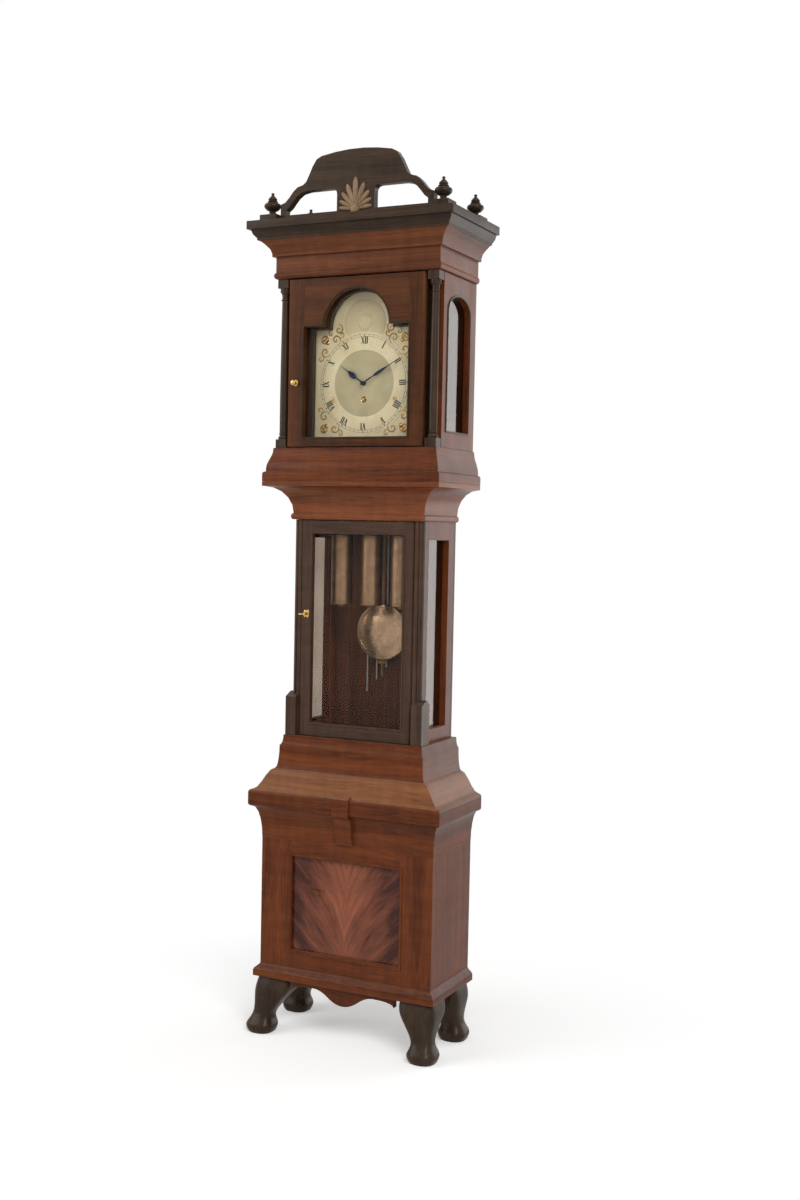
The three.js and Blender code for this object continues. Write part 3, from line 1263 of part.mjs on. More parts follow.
// Outline of a hand that points up from the origin, with a leaf-shaped blade
function handOutline(length, leafWidth) {
  const [leaf, stem, tip] = [leafWidth / 2, HAND_STEM_WIDTH / 2, HAND_TIP_WIDTH / 2];
  const middle = length * LEAF_PLACE_SHARE;
  const leafFoot = middle * LEAF_FOOT_SHARE;
  const leafBelly = middle * LEAF_BELLY_SHARE;
  const leafEnd = mix(middle, length, LEAF_PLACE_SHARE);
  const leafBend = (middle + leafEnd) / 2;
  const shape = new THREE.Shape();
  const [open, close] = [Math.PI / 2 + BOSS_OPENING_ANGLE, Math.PI * 5 / 2 - BOSS_OPENING_ANGLE];
  shape.absarc(0, 0, HAND_BOSS_RADIUS, open, close, false);
  shape.lineTo(stem, leafFoot);
  shape.quadraticCurveTo(leaf, leafBelly, leaf, middle);
  shape.quadraticCurveTo(leaf, leafBend, stem, leafEnd);
  shape.lineTo(tip, length);
  shape.lineTo(-tip, length);
  shape.lineTo(-stem, leafEnd);
  shape.quadraticCurveTo(-leaf, leafBend, -leaf, middle);
  shape.quadraticCurveTo(-leaf, leafBelly, -stem, leafFoot);
  return shape;
}

function handBlade(outline, front, turn) {
  const blade = boardFacingFront(outline, front, front + HAND_THICKNESS);
  return blade.rotateY(turn).translate(0, 0, CENTRE_Z);
}

const HOUR_HAND_FRONT = DIAL_FRONT - HOUR_HAND_STAND - HAND_THICKNESS;
const MINUTE_HAND_FRONT = HOUR_HAND_FRONT - HAND_SPACE - HAND_THICKNESS;
const MINUTE_TURN = MINUTE_AT_REST / 60 * 2 * Math.PI;
const HOUR_TURN = (HOUR_AT_REST + MINUTE_AT_REST / 60) / 12 * 2 * Math.PI;

// Toothed wheels

// Outline of a toothed wheel; a tooth's middle lies at the angle phase, and the tooth's width at its root is
// a share of the pitch
function toothedOutline(teeth, rootRadius, tipRadius, phase, rootShare) {
  const pitch = 2 * Math.PI / teeth;
  const corners = [[rootRadius, -rootShare / 2], [tipRadius, 0], [rootRadius, rootShare / 2]];
  const points = [];
  for (let i = 0; i < teeth; i += 1) {
    for (const [radius, share] of corners) {
      const angle = phase + (i + share) * pitch;
      points.push([radius * Math.cos(angle), radius * Math.sin(angle)]);
    }
  }
  return outlineOf(points);
}

// Outline of a wheel with pointed teeth that lean one way, as on a ratchet or an escape wheel
function sawOutline(teeth, rootRadius, tipRadius, phase, lean) {
  const pitch = 2 * Math.PI / teeth;
  const points = [];
  for (let i = 0; i < teeth; i += 1) {
    for (const [radius, share] of [[tipRadius, 0], [rootRadius, lean]]) {
      const angle = phase + (i + share) * pitch;
      points.push([radius * Math.cos(angle), radius * Math.sin(angle)]);
    }
  }
  return outlineOf(points);
}

// Openings between the arms of a wheel
function crossedOut(shape, hubRadius, rimRadius, arms, armWidth) {
  for (let i = 0; i < arms; i += 1) {
    const start = i * 2 * Math.PI / arms;
    const end = (i + 1) * 2 * Math.PI / arms;
    const outer = armWidth / 2 / rimRadius;
    const inner = armWidth / 2 / hubRadius;
    const hole = new THREE.Path();
    hole.absarc(0, 0, rimRadius, start + outer, end - outer, false);
    hole.absarc(0, 0, hubRadius, end - inner, start + inner, true);
    shape.holes.push(hole);
  }
  return shape;
}

function wheelAt(outline, x, z, y0, y1) {
  return boardFacingFront(outline, y0, y1, WHEEL_CURVE_STEPS).translate(x, 0, z);
}

function clockWheel(teeth, gearModule, phase) {
  const radius = teeth * gearModule / 2;
  const root = radius - gearModule;
  const outline = toothedOutline(teeth, root, radius + gearModule / 2, phase, WHEEL_TOOTH_ROOT);
  return crossedOut(outline, HUB_RADIUS, root - WHEEL_RIM, WHEEL_ARMS, ARM_WIDTH);
}

function pinion(gearModule, phase) {
  const radius = PINION_LEAVES * gearModule / 2;
  return toothedOutline(PINION_LEAVES, radius - gearModule, radius + gearModule / 2, phase, LEAF_ROOT);
}

// Where the third arbor stands, from its distances to the centre arbor and the escape arbor
const TO_CENTRE = CENTRE_WHEEL_RADIUS + THIRD_PINION_RADIUS;
const TO_ESCAPE = THIRD_WHEEL_RADIUS + ESCAPE_PINION_RADIUS;
const THIRD_RISE = (TO_CENTRE ** 2 - TO_ESCAPE ** 2 + ESCAPE_RISE ** 2) / (2 * ESCAPE_RISE);
const THIRD_X = Math.sqrt(TO_CENTRE ** 2 - THIRD_RISE ** 2);
const THIRD_Z = CENTRE_Z + THIRD_RISE;
const CENTRE_TO_THIRD = Math.atan2(THIRD_RISE, THIRD_X);
const ESCAPE_TO_THIRD = Math.atan2(THIRD_Z - ESCAPE_Z, THIRD_X);
const HALF_LEAF = Math.PI / PINION_LEAVES;

const CENTRE_WHEEL_Y = SPACE_BACK - PINION_LENGTH;
const THIRD_WHEEL_Y = SPACE_FRONT + THIRD_WHEEL_PLACE;
const ESCAPE_WHEEL_Y = THIRD_WHEEL_Y + PINION_LENGTH;

// An arbor between the plates, with thinner pivots that end inside the plates
function arbor(x, z, front = FRONT_PLATE_Y, back = BACK_PLATE_Y) {
  const [thin, thick] = [PIVOT_DIAMETER / 2, ARBOR_DIAMETER / 2];
  const [first, last] = [SPACE_FRONT + PIVOT_GAP, SPACE_BACK - PIVOT_GAP];
  return turnedLevel([
    [0, front],
    [thin, front],
    [thin, first],
    [thick, first],
    [thick, last],
    [thin, last],
    [thin, back],
    [0, back],
  ], x, z, PIN_SIDES);
}

function minuteHand() {
  const radius = ARBOR_DIAMETER / 2;
  const back = SPACE_BACK - PIVOT_GAP;
  const nose = MINUTE_HAND_FRONT - HAND_SPACE;
  const spindle = turnedLevel([[0, nose], [radius, nose], [radius, back], [PIVOT_DIAMETER / 2, back],
    [PIVOT_DIAMETER / 2, BACK_PLATE_Y], [0, BACK_PLATE_Y]], 0, CENTRE_Z, PIN_SIDES);
  const capFront = MINUTE_HAND_FRONT - HAND_THICKNESS;
  const cap = levelPin(CAP_DIAMETER, 0, CENTRE_Z, capFront, MINUTE_HAND_FRONT + HAND_THICKNESS / 2);
  const blade = handBlade(handOutline(MINUTE_HAND_LENGTH, MINUTE_LEAF_WIDTH), MINUTE_HAND_FRONT, MINUTE_TURN);
  const teeth = clockWheel(CENTRE_TEETH, CENTRE_MODULE, CENTRE_TO_THIRD);
  const wheel = wheelAt(teeth, 0, CENTRE_Z, CENTRE_WHEEL_Y, CENTRE_WHEEL_Y + CENTRE_WHEEL_THICKNESS);
  return join(spindle, cap, blade, wheel);
}

function hourHand() {
  const bore = ARBOR_DIAMETER / 2 + PIVOT_GAP;
  const outer = bore + PIPE_WALL;
  const back = FRONT_PLATE_Y - SLIDE_GAP;
  const pipe = turnedLevel([[bore, HOUR_HAND_FRONT], [outer, HOUR_HAND_FRONT], [outer, back], [bore, back],
    [bore, HOUR_HAND_FRONT]], 0, CENTRE_Z, SMALL_SIDES);
  const hole = levelPin(bore * 2 + PIPE_WALL, 0, CENTRE_Z, HOUR_HAND_FRONT - OVERCUT, back + OVERCUT);
  const blade = handBlade(handOutline(HOUR_HAND_LENGTH, HOUR_LEAF_WIDTH), HOUR_HAND_FRONT, HOUR_TURN);
  const wheelY = back - HOUR_WHEEL_SET_BACK;
  const radius = HOUR_WHEEL_DIAMETER / 2;
  const teeth = sawOutline(RATCHET_TEETH, radius - HOUR_TOOTH_DEPTH, radius, 0, HOUR_TOOTH_LEAN);
  const wheel = wheelAt(teeth, 0, CENTRE_Z, wheelY, wheelY + WHEEL_THICKNESS);
  return join(pipe, cut(blade, hole), cut(wheel, hole));
}

function thirdWheel() {
  const gear = wheelAt(clockWheel(THIRD_TEETH, THIRD_MODULE, ESCAPE_TO_THIRD + Math.PI), THIRD_X, THIRD_Z,
    THIRD_WHEEL_Y, THIRD_WHEEL_Y + WHEEL_THICKNESS);
  const leaves = wheelAt(pinion(CENTRE_MODULE, CENTRE_TO_THIRD + Math.PI + HALF_LEAF), THIRD_X, THIRD_Z,
    CENTRE_WHEEL_Y - WHEEL_THICKNESS, CENTRE_WHEEL_Y + WHEEL_THICKNESS * 2);
  return join(arbor(THIRD_X, THIRD_Z), gear, leaves);
}

function escapeWheel() {
  const radius = ESCAPE_DIAMETER / 2;
  const root = radius - ESCAPE_TOOTH_DEPTH;
  const teeth = sawOutline(ESCAPE_TEETH, root, radius, Math.PI / 2, ESCAPE_TOOTH_LEAN);
  const rim = crossedOut(teeth, HUB_RADIUS, root - ESCAPE_RIM, WHEEL_ARMS, ARM_WIDTH);
  const wheel = wheelAt(rim, 0, ESCAPE_Z, ESCAPE_WHEEL_Y, ESCAPE_WHEEL_Y + ESCAPE_THICKNESS);
  const leaves = wheelAt(pinion(THIRD_MODULE, ESCAPE_TO_THIRD + HALF_LEAF), 0, ESCAPE_Z,
    THIRD_WHEEL_Y - WHEEL_THICKNESS, THIRD_WHEEL_Y + WHEEL_THICKNESS * 2);
  return join(arbor(0, ESCAPE_Z), wheel, leaves);
}

const CRUTCH_FRONT = BACK_PLATE_Y + SLIDE_GAP;

function anchor() {
  const tip = ESCAPE_DIAMETER / 2 + PALLET_GAP;
  const [reachX, reachZ] = [tip * Math.sin(PALLET_SPREAD), tip * Math.cos(PALLET_SPREAD) - ANCHOR_RISE];
  const belly = reachX * ANCHOR_BELLY_SHARE;
  const outline = new THREE.Shape();
  outline.moveTo(0, ANCHOR_BACK);
  outline.quadraticCurveTo(-reachX, ANCHOR_ARM, -reachX - ANCHOR_ARM, reachZ);
  outline.lineTo(-reachX, reachZ);
  outline.quadraticCurveTo(-belly, -ANCHOR_ARM, 0, -ANCHOR_ARM);
  outline.quadraticCurveTo(belly, -ANCHOR_ARM, reachX, reachZ);
  outline.lineTo(reachX + ANCHOR_ARM, reachZ);
  outline.quadraticCurveTo(reachX, ANCHOR_ARM, 0, ANCHOR_BACK);
  const armsBack = ESCAPE_WHEEL_Y + ESCAPE_THICKNESS + PALLET_LAP;
  const arms = boardFacingFront(outline, ESCAPE_WHEEL_Y - PALLET_LAP, armsBack).translate(0, 0, PIVOT_Z);
  const [low, crutchBack] = [PIVOT_Z - CRUTCH_DROP, CRUTCH_FRONT + HANGER_CHEEK];
  const half = CRUTCH_WIDTH / 2;
  const crutch = block(-half, half, CRUTCH_FRONT, crutchBack, low, PIVOT_Z);
  const gap = ROD_WIDTH / 2 + PIVOT_GAP;
  const forkBack = PENDULUM_Y + ROD_THICKNESS;
  const fork = cut(block(-gap - half, gap + half, CRUTCH_FRONT, forkBack, low, low + CRUTCH_WIDTH),
    block(-gap, gap, crutchBack, forkBack + OVERCUT, low - OVERCUT, low + CRUTCH_WIDTH + OVERCUT));
  return join(arbor(0, PIVOT_Z, FRONT_PLATE_Y, crutchBack), arms, crutch, fork);
}

// Movement plates

function plateOutline() {
  const half = PLATE_WIDTH / 2;
  const nip = PILLAR_INSET;
  return outlineOf([
    [-half, PLATE_BOTTOM],
    [half, PLATE_BOTTOM],
    [half, PLATE_TOP - nip],
    [half - nip, PLATE_TOP],
    [nip - half, PLATE_TOP],
    [-half, PLATE_TOP - nip],
  ]);
}

const TRAIN_PIVOTS = [[THIRD_X, THIRD_Z], [0, ESCAPE_Z], [0, PIVOT_Z]];

function pivotHoles(y0, y1) {
  const small = PIVOT_DIAMETER + 2 * PIVOT_GAP;
  const large = DRUM_ARBOR_DIAMETER + 2 * PIVOT_GAP;
  const train = TRAIN_PIVOTS.map(([x, z]) => levelPin(small, x, z, y0 - OVERCUT, y1 + OVERCUT));
  const drums = WEIGHT_XS.map((x) => levelPin(large, x, DRUM_Z, y0 - OVERCUT, y1 + OVERCUT));
  return [...train, ...drums];
}

function frontPlate() {
  const plate = boardFacingFront(plateOutline(), FRONT_PLATE_Y, SPACE_FRONT);
  const bore = ARBOR_DIAMETER + 2 * PIVOT_GAP;
  const centre = levelPin(bore, 0, CENTRE_Z, FRONT_PLATE_Y - OVERCUT, SPACE_FRONT + OVERCUT);
  return cut(plate, centre, ...pivotHoles(FRONT_PLATE_Y, SPACE_FRONT));
}

function pillar(x, z) {
  const [slim, collar] = [PILLAR_DIAMETER / 2, PILLAR_COLLAR_DIAMETER / 2];
  const [front, back] = [SPACE_FRONT + SEAT_GAP, SPACE_BACK + OVERCUT];
  return turnedLevel([
    [0, front],
    [collar, front],
    [collar, front + collar],
    [slim, front + collar * 2],
    [slim, back - collar * 2],
    [collar, back - collar],
    [collar, back],
    [0, back],
  ], x, z, PIN_SIDES);
}

function backPlate() {
  const plate = boardFacingFront(plateOutline(), SPACE_BACK, BACK_PLATE_Y);
  const x = PLATE_WIDTH / 2 - PILLAR_INSET;
  const pillars = [-x, x].flatMap((px) => DIAL_FOOT_ZS.map((z) => pillar(px, z)));
  const bore = PIVOT_DIAMETER + 2 * PIVOT_GAP;
  const centre = levelPin(bore, 0, CENTRE_Z, SPACE_BACK - OVERCUT, BACK_PLATE_Y + OVERCUT);
  const cockBottom = PIVOT_Z + COCK_RISE;
  const cockTop = cockBottom + COCK_HEIGHT;
  const cockBack = PENDULUM_Y + SUSPENSION_BLOCK;
  const cockHalf = COCK_WIDTH / 2;
  const cock = block(-cockHalf, cockHalf, BACK_PLATE_Y - OVERCUT, cockBack, cockBottom, cockTop);
  const [slotHalf, slotFront] = [COCK_SLOT / 2, PENDULUM_Y - SUSPENSION_BLOCK / 2 - OVERCUT];
  const [slotBottom, slotTop] = [cockBottom - OVERCUT, cockTop + OVERCUT];
  const slot = block(-slotHalf, slotHalf, slotFront, cockBack + OVERCUT, slotBottom, slotTop);
  return cut(join(plate, ...pillars, cock), centre, slot, ...pivotHoles(SPACE_BACK, BACK_PLATE_Y));
}

function drum(x) {
  const [core, flange, axle] = [DRUM_DIAMETER / 2, DRUM_FLANGE_DIAMETER / 2, DRUM_ARBOR_DIAMETER / 2];
  const squareFront = DIAL_FRONT - SQUARE_STAND;
  const squareBack = squareFront + SQUARE_LENGTH;
  const [coreFront, coreBack] = [DRUM_FRONT + DRUM_FLANGE_THICKNESS, DRUM_BACK - DRUM_FLANGE_THICKNESS];
  const body = turnedLevel([
    [0, squareBack], [axle, squareBack], [axle, DRUM_FRONT], [flange, DRUM_FRONT], [flange, coreFront],
    [core, coreFront], [core, coreBack], [flange, coreBack], [flange, DRUM_BACK], [axle, DRUM_BACK],
    [axle, BACK_PLATE_Y], [0, BACK_PLATE_Y],
  ], x, DRUM_Z, SMALL_SIDES);
  const half = SQUARE_WIDTH / 2;
  const square = block(x - half, x + half, squareFront, squareBack + OVERCUT, DRUM_Z - half, DRUM_Z + half);
  const radius = RATCHET_DIAMETER / 2;
  const teeth = sawOutline(RATCHET_TEETH, radius - RATCHET_TOOTH_DEPTH, radius, 0, RATCHET_TOOTH_LEAN);
  const ratchetBack = DRUM_FRONT - RATCHET_GAP;
  const ratchet = wheelAt(teeth, x, DRUM_Z, ratchetBack - WHEEL_THICKNESS, ratchetBack);
  return join(body, square, ratchet);
}

// Pendulum

function pendulumRod() {
  const cockTop = PIVOT_Z + COCK_RISE + COCK_HEIGHT;
  const [half, rodHalf] = [SUSPENSION_BLOCK / 2, ROD_WIDTH / 2];
  const [front, back] = [PENDULUM_Y - half, PENDULUM_Y + half];
  const top = block(-half, half, front, back, cockTop + 2 * SEAT_GAP, cockTop + SUSPENSION_BLOCK);
  const springHalf = SUSPENSION_SPRING / 2;
  const strap = PIVOT_Z - SUSPENSION_BLOCK;
  const springTop = cockTop + 2 * SEAT_GAP + OVERCUT;
  const spring = block(-springHalf, springHalf, front + OVERCUT, back - OVERCUT, strap - OVERCUT, springTop);
  const clasp = block(-rodHalf, rodHalf, front, back, strap - SUSPENSION_BLOCK, strap);
  const rodEnd = BOB_Z + BOB_DIAMETER / 2 + SUSPENSION_BLOCK;
  const rodReach = ROD_THICKNESS / 2;
  const rod = block(-rodHalf, rodHalf, PENDULUM_Y - rodReach, PENDULUM_Y + rodReach, rodEnd, strap - OVERCUT);
  const tailEnd = BOB_Z - BOB_DIAMETER / 2 - ROD_TAIL;
  const tail = uprightPin(ROD_END_DIAMETER, 0, PENDULUM_Y, tailEnd, rodEnd + OVERCUT);
  return join(top, spring, clasp, rod, tail);
}

function pendulumBob() {
  const [radius, half] = [BOB_DIAMETER / 2, BOB_THICKNESS / 2];
  const edge = BOB_EDGE / 2;
  const bulge = steps.map((t) => [
    (radius - BOB_RIM) * Math.sin(t * Math.PI / 2),
    half - (half - edge) * (1 - Math.cos(t * Math.PI / 2)),
  ]);
  const front = bulge.map(([r, y]) => [r, PENDULUM_Y - y]);
  const back = bulge.map(([r, y]) => [r, PENDULUM_Y + y]).reverse();
  const rim = [[radius, PENDULUM_Y - edge], [radius, PENDULUM_Y + edge]];
  const disc = turnedLevel([...front, ...rim, ...back], 0, BOB_Z, SMALL_SIDES * 2);
  const [low, high] = [BOB_Z - radius - OVERCUT, BOB_Z + radius + OVERCUT];
  const bore = uprightPin(ROD_END_DIAMETER + 2 * PIVOT_GAP, 0, PENDULUM_Y, low, high);
  return cut(disc, bore);
}

function ratingNut() {
  const top = BOB_Z - BOB_DIAMETER / 2 - SEAT_GAP;
  const [bore, outer] = [ROD_END_DIAMETER / 2 + SEAT_GAP, NUT_DIAMETER / 2];
  const bottom = top - NUT_HEIGHT;
  const edge = outer - NUT_CHAMFER;
  return turnedUpright([
    [bore, bottom],
    [edge, bottom],
    [outer, bottom + NUT_CHAMFER],
    [outer, top - NUT_CHAMFER],
    [edge, top],
    [bore, top],
    [bore, bottom],
  ], 0, PENDULUM_Y, SMALL_SIDES);
}

// Weights, pulleys and cables

function weight(x) {
  const radius = WEIGHT_DIAMETER / 2;
  const [top, bottom] = [WEIGHT_TOP, WEIGHT_TOP - WEIGHT_LENGTH];
  const [neck, hub] = [HANGER_BAR / 2, WEIGHT_HUB_DIAMETER / 2];
  const foot = bottom - WEIGHT_CAP / 2;
  const neckTop = top + HANGER_NECK + OVERCUT;
  const shell = turnedUpright([
    [0, foot],
    [hub, foot],
    [hub, bottom],
    [radius - WEIGHT_CHAMFER, bottom],
    [radius, bottom + WEIGHT_CAP / 2],
    [radius, top - WEIGHT_CAP],
    [WEIGHT_SHOULDER_DIAMETER / 2, top],
    [neck, top],
    [neck, neckTop],
    [0, neckTop],
  ], x, CABLE_Y, SMALL_SIDES);
  const outer = PULLEY_WIDTH / 2 + HANGER_CHEEK + PULLEY_SIDE_GAP;
  const half = HANGER_WIDTH / 2;
  const [front, back] = [CABLE_Y - outer, CABLE_Y + outer];
  const bar = block(x - half, x + half, front, back, top + HANGER_NECK, HANGER_BAR_TOP);
  const cheek = new THREE.Shape();
  cheek.moveTo(x - half, HANGER_BAR_TOP - OVERCUT);
  cheek.lineTo(x + half, HANGER_BAR_TOP - OVERCUT);
  cheek.absarc(x, PULLEY_Z, half, 0, Math.PI, false);
  const bore = levelPin(ARBOR_DIAMETER + 2 * PIVOT_GAP, x, PULLEY_Z, front - OVERCUT, back + OVERCUT);
  const cheeks = [front, back - HANGER_CHEEK].map((y) => boardFacingFront(cheek, y, y + HANGER_CHEEK));
  return cut(join(shell, bar, ...cheeks), bore);
}

function pulley(x) {
  const [rim, groove] = [PULLEY_DIAMETER / 2, CABLE_PITCH - CABLE_DIAMETER / 2 - SEAT_GAP];
  const [axle, hub] = [ARBOR_DIAMETER / 2, ARBOR_DIAMETER];
  const [half, web, grooveHalf] = [PULLEY_WIDTH / 2, PULLEY_RIM_WIDTH / 2, PULLEY_GROOVE_WIDTH / 2];
  const end = half + HANGER_CHEEK + PULLEY_SIDE_GAP;
  const ahead = [
    [0, -end],
    [axle, -end],
    [axle, -half],
    [hub, -half],
    [hub, -web],
    [rim, -web],
    [groove, -grooveHalf],
  ];
  const behind = ahead.map(([radius, y]) => [radius, -y]).reverse();
  const profile = [...ahead, ...behind].map(([radius, y]) => [radius, CABLE_Y + y]);
  return turnedLevel(profile, x, PULLEY_Z, SMALL_SIDES);
}

// From the drum down, round under the pulley and up to the seatboard, where a ferrule holds its end
function cable(x) {
  const radius = CABLE_DIAMETER / 2;
  const centres = [[x - CABLE_PITCH, DRUM_Z, 0]];
  for (let i = 0; i <= ROUND_SIDES / 2; i += 1) {
    const angle = Math.PI * i / (ROUND_SIDES / 2);
    centres.push([x - CABLE_PITCH * Math.cos(angle), PULLEY_Z - CABLE_PITCH * Math.sin(angle), angle]);
  }
  centres.push([x + CABLE_PITCH, SEAT_TOP + FERRULE_HEIGHT / 2, Math.PI]);
  const rings = centres.map(([cx, cz, turn]) => {
    const ring = [];
    for (let i = 0; i < WIRE_SIDES; i += 1) {
      const angle = 2 * Math.PI * i / WIRE_SIDES;
      const [out, along] = [radius * Math.cos(angle), radius * Math.sin(angle)];
      ring.push(new THREE.Vector3(cx + out * Math.cos(turn), CABLE_Y + along, cz + out * Math.sin(turn)));
    }
    return ring;
  });
  const line = lofted(rings, (point) => new THREE.Vector2(point.x, point.y));
  const ferrule = uprightPin(FERRULE_DIAMETER, x + CABLE_PITCH, CABLE_Y, SEAT_TOP + SEAT_GAP,
    SEAT_TOP + FERRULE_HEIGHT);
  return join(line, ferrule);
}

function chimeRods() {
  const half = (CHIME_RODS - 1) / 2 * CHIME_SPACING + CHIME_SPACING / 2;
  const back = BACKBOARD_FRONT - SEAT_GAP;
  const front = back - CHIME_BLOCK_DEPTH;
  const top = THROAT_TOP - CHIME_TOP_GAP + CHIME_BLOCK_HEIGHT;
  const bottom = top - CHIME_BLOCK_HEIGHT;
  const bar = block(-half, half, front, back, bottom, top);
  const rodY = back - CHIME_ROD_SET_BACK;
  const rods = Array.from({ length: CHIME_RODS }, (_, i) => {
    const x = (i - (CHIME_RODS - 1) / 2) * CHIME_SPACING;
    const end = bottom - CHIME_LONGEST + i * CHIME_STEP;
    return uprightPin(CHIME_ROD_DIAMETER, x, rodY, end, bottom + OVERCUT);
  });
  return join(bar, ...rods);
}

// The assembly

const clock = new THREE.Group();

function add(name, geometry, [color, roughness, metalness]) {
  const shape = outward(geometry).toNonIndexed();
  shape.computeVertexNormals();
  const material = new THREE.MeshStandardMaterial({ color, roughness, metalness });
  const mesh = new THREE.Mesh(shape, material);
  mesh.name = name;
  clock.add(mesh);
}

for (const [end, atFront] of [['front', true], ['rear', false]]) {
  add(`foot_${end}_left`, foot(-1, atFront), DARK_WOOD);
  add(`foot_${end}_right`, foot(1, atFront), DARK_WOOD);
}
add('base_plinth', basePlinth(), MAHOGANY);
add('base_case', baseCase(), MAHOGANY);
add('base_front_panel', baseFrontPanel(), FIGURED_WOOD);
add('base_top_moulding', baseTopMoulding(), MAHOGANY);

const side = trunkSide();
const sideGlass = trunkGlass();
add('trunk_side_left', mirrored(side), MAHOGANY);
add('trunk_side_right', side, MAHOGANY);
add('trunk_glass_left', mirrored(sideGlass), CLEAR_GLASS);
add('trunk_glass_right', sideGlass, CLEAR_GLASS);
add('throat_moulding', throatMoulding(), MAHOGANY);
add('backboard', backboard(), INNER_WOOD);
add('seatboard', seatboard(), PLAIN_WOOD);
add('trunk_door_frame', trunkDoorFrame(), DARK_WOOD);
add('trunk_door_glass', doorGlass(trunkDoorOpening(GLASS_LAP), TRUNK_FRONT), CLEAR_GLASS);
add('trunk_door_key', trunkDoorKey(), POLISHED_BRASS);

const hoodBoard = hoodSide();
const hoodPane = hoodGlass();
const column = hoodColumn();
add('hood_base_moulding', hoodBaseMoulding(), MAHOGANY);
add('hood_side_left', mirrored(hoodBoard), MAHOGANY);
add('hood_side_right', hoodBoard, MAHOGANY);
add('hood_glass_left', mirrored(hoodPane), CLEAR_GLASS);
add('hood_glass_right', hoodPane, CLEAR_GLASS);
add('hood_column_left', mirrored(column), DARK_WOOD);
add('hood_column_right', column, DARK_WOOD);
add('hood_front_board', hoodFrontBoard(), DARK_WOOD);
add('hood_cornice', hoodCornice(), DARK_WOOD);
add('hood_roof', hoodRoof(), PLAIN_WOOD);
add('hood_crest', hoodCrest(), DARK_WOOD);
for (const [end, atFront] of [['front', true], ['rear', false]]) {
  add(`finial_${end}_left`, finial(-1, atFront), DARK_WOOD);
  add(`finial_${end}_right`, finial(1, atFront), DARK_WOOD);
}
add('hood_door_frame', hoodDoorFrame(), MAHOGANY);
add('hood_door_glass', doorGlass(hoodDoorOpening(GLASS_LAP), HOOD_FRONT), CLEAR_GLASS);
add('hood_door_knob', hoodDoorKnob(), POLISHED_BRASS);

add('movement_front_plate', frontPlate(), CAST_BRASS);
add('movement_back_plate', backPlate(), CAST_BRASS);
add('dial', dial(), PAINTED_DIAL);
add('minute_hand', minuteHand(), BLUED_STEEL);
add('hour_hand', hourHand(), BLUED_STEEL);
add('third_wheel', thirdWheel(), CAST_BRASS);
add('escape_wheel', escapeWheel(), CAST_BRASS);
add('anchor', anchor(), STEEL);
add('pendulum_rod', pendulumRod(), PLAIN_WOOD);
add('pendulum_bob', pendulumBob(), POLISHED_BRASS);
add('rating_nut', ratingNut(), CAST_BRASS);
['left', 'centre', 'right'].forEach((place, i) => {
  const x = WEIGHT_XS[i];
  add(`drum_${place}`, drum(x), CAST_BRASS);
  add(`weight_${place}`, weight(x), POLISHED_BRASS);
  add(`weight_pulley_${place}`, pulley(x), CAST_BRASS);
  add(`weight_cable_${place}`, cable(x), STEEL);
});
add('chime_rods', chimeRods(), STEEL);

export default clock;
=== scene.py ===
"""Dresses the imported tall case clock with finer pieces, finishes, a floor, light and a camera."""
import json
import math

import bmesh
import bpy
from mathutils import Matrix, Vector

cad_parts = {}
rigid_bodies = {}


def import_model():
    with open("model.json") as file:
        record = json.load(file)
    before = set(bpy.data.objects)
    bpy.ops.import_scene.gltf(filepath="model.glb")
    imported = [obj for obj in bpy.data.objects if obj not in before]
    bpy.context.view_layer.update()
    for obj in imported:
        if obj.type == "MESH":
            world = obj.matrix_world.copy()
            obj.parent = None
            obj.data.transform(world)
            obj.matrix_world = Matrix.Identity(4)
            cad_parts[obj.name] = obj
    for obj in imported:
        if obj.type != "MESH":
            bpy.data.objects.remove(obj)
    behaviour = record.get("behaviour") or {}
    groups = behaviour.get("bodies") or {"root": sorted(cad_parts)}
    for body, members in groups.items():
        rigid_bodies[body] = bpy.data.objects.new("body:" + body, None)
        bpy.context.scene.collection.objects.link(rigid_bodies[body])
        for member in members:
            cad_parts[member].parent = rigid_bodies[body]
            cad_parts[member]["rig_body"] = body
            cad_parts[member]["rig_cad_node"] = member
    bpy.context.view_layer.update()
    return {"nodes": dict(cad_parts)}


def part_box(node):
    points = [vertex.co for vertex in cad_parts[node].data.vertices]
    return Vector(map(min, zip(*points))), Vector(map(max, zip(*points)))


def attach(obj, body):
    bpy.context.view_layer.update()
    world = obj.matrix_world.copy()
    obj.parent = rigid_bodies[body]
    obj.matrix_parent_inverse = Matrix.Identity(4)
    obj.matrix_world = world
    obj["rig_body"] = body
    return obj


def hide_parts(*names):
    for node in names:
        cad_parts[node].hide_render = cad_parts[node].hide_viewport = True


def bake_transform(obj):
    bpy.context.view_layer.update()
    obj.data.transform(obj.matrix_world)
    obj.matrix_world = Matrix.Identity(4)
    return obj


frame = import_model()

MM = 0.001
UPRIGHT, ACROSS, DEEP = (0, 0, 1), (1, 0, 0), (0, 1, 0)
CORNERS = ("front_left", "front_right", "rear_left", "rear_right")
TRAINS = ("left", "centre", "right")
LARGE_SIDES = 96
TURNING_SIDES = 48
RING_SIDES = 36
SMALL_SIDES = 24
CURVE_STEPS = 8
EDGE = 0.9
FINE_EDGE = 0.25
WELD = 0.005
NEAR = 0.1
FLAT_ANGLE = math.radians(0.4)
SMOOTH_ANGLE = math.radians(38)


# Places

def low(node):
    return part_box(node)[0]


def high(node):
    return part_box(node)[1]


def middle(node):
    return (low(node) + high(node)) / 2


def half_width(node):
    return (high(node).x - low(node).x) / 2 / MM


def body_of(node):
    return frame["nodes"][node]["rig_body"]


def metres(point):
    return [value * MM for value in point]


def upright_at(node, height):
    """Where a turning stands that has the node's upright axis, with its zero at a height in millimetres."""
    return (middle(node).x, middle(node).y, height * MM)


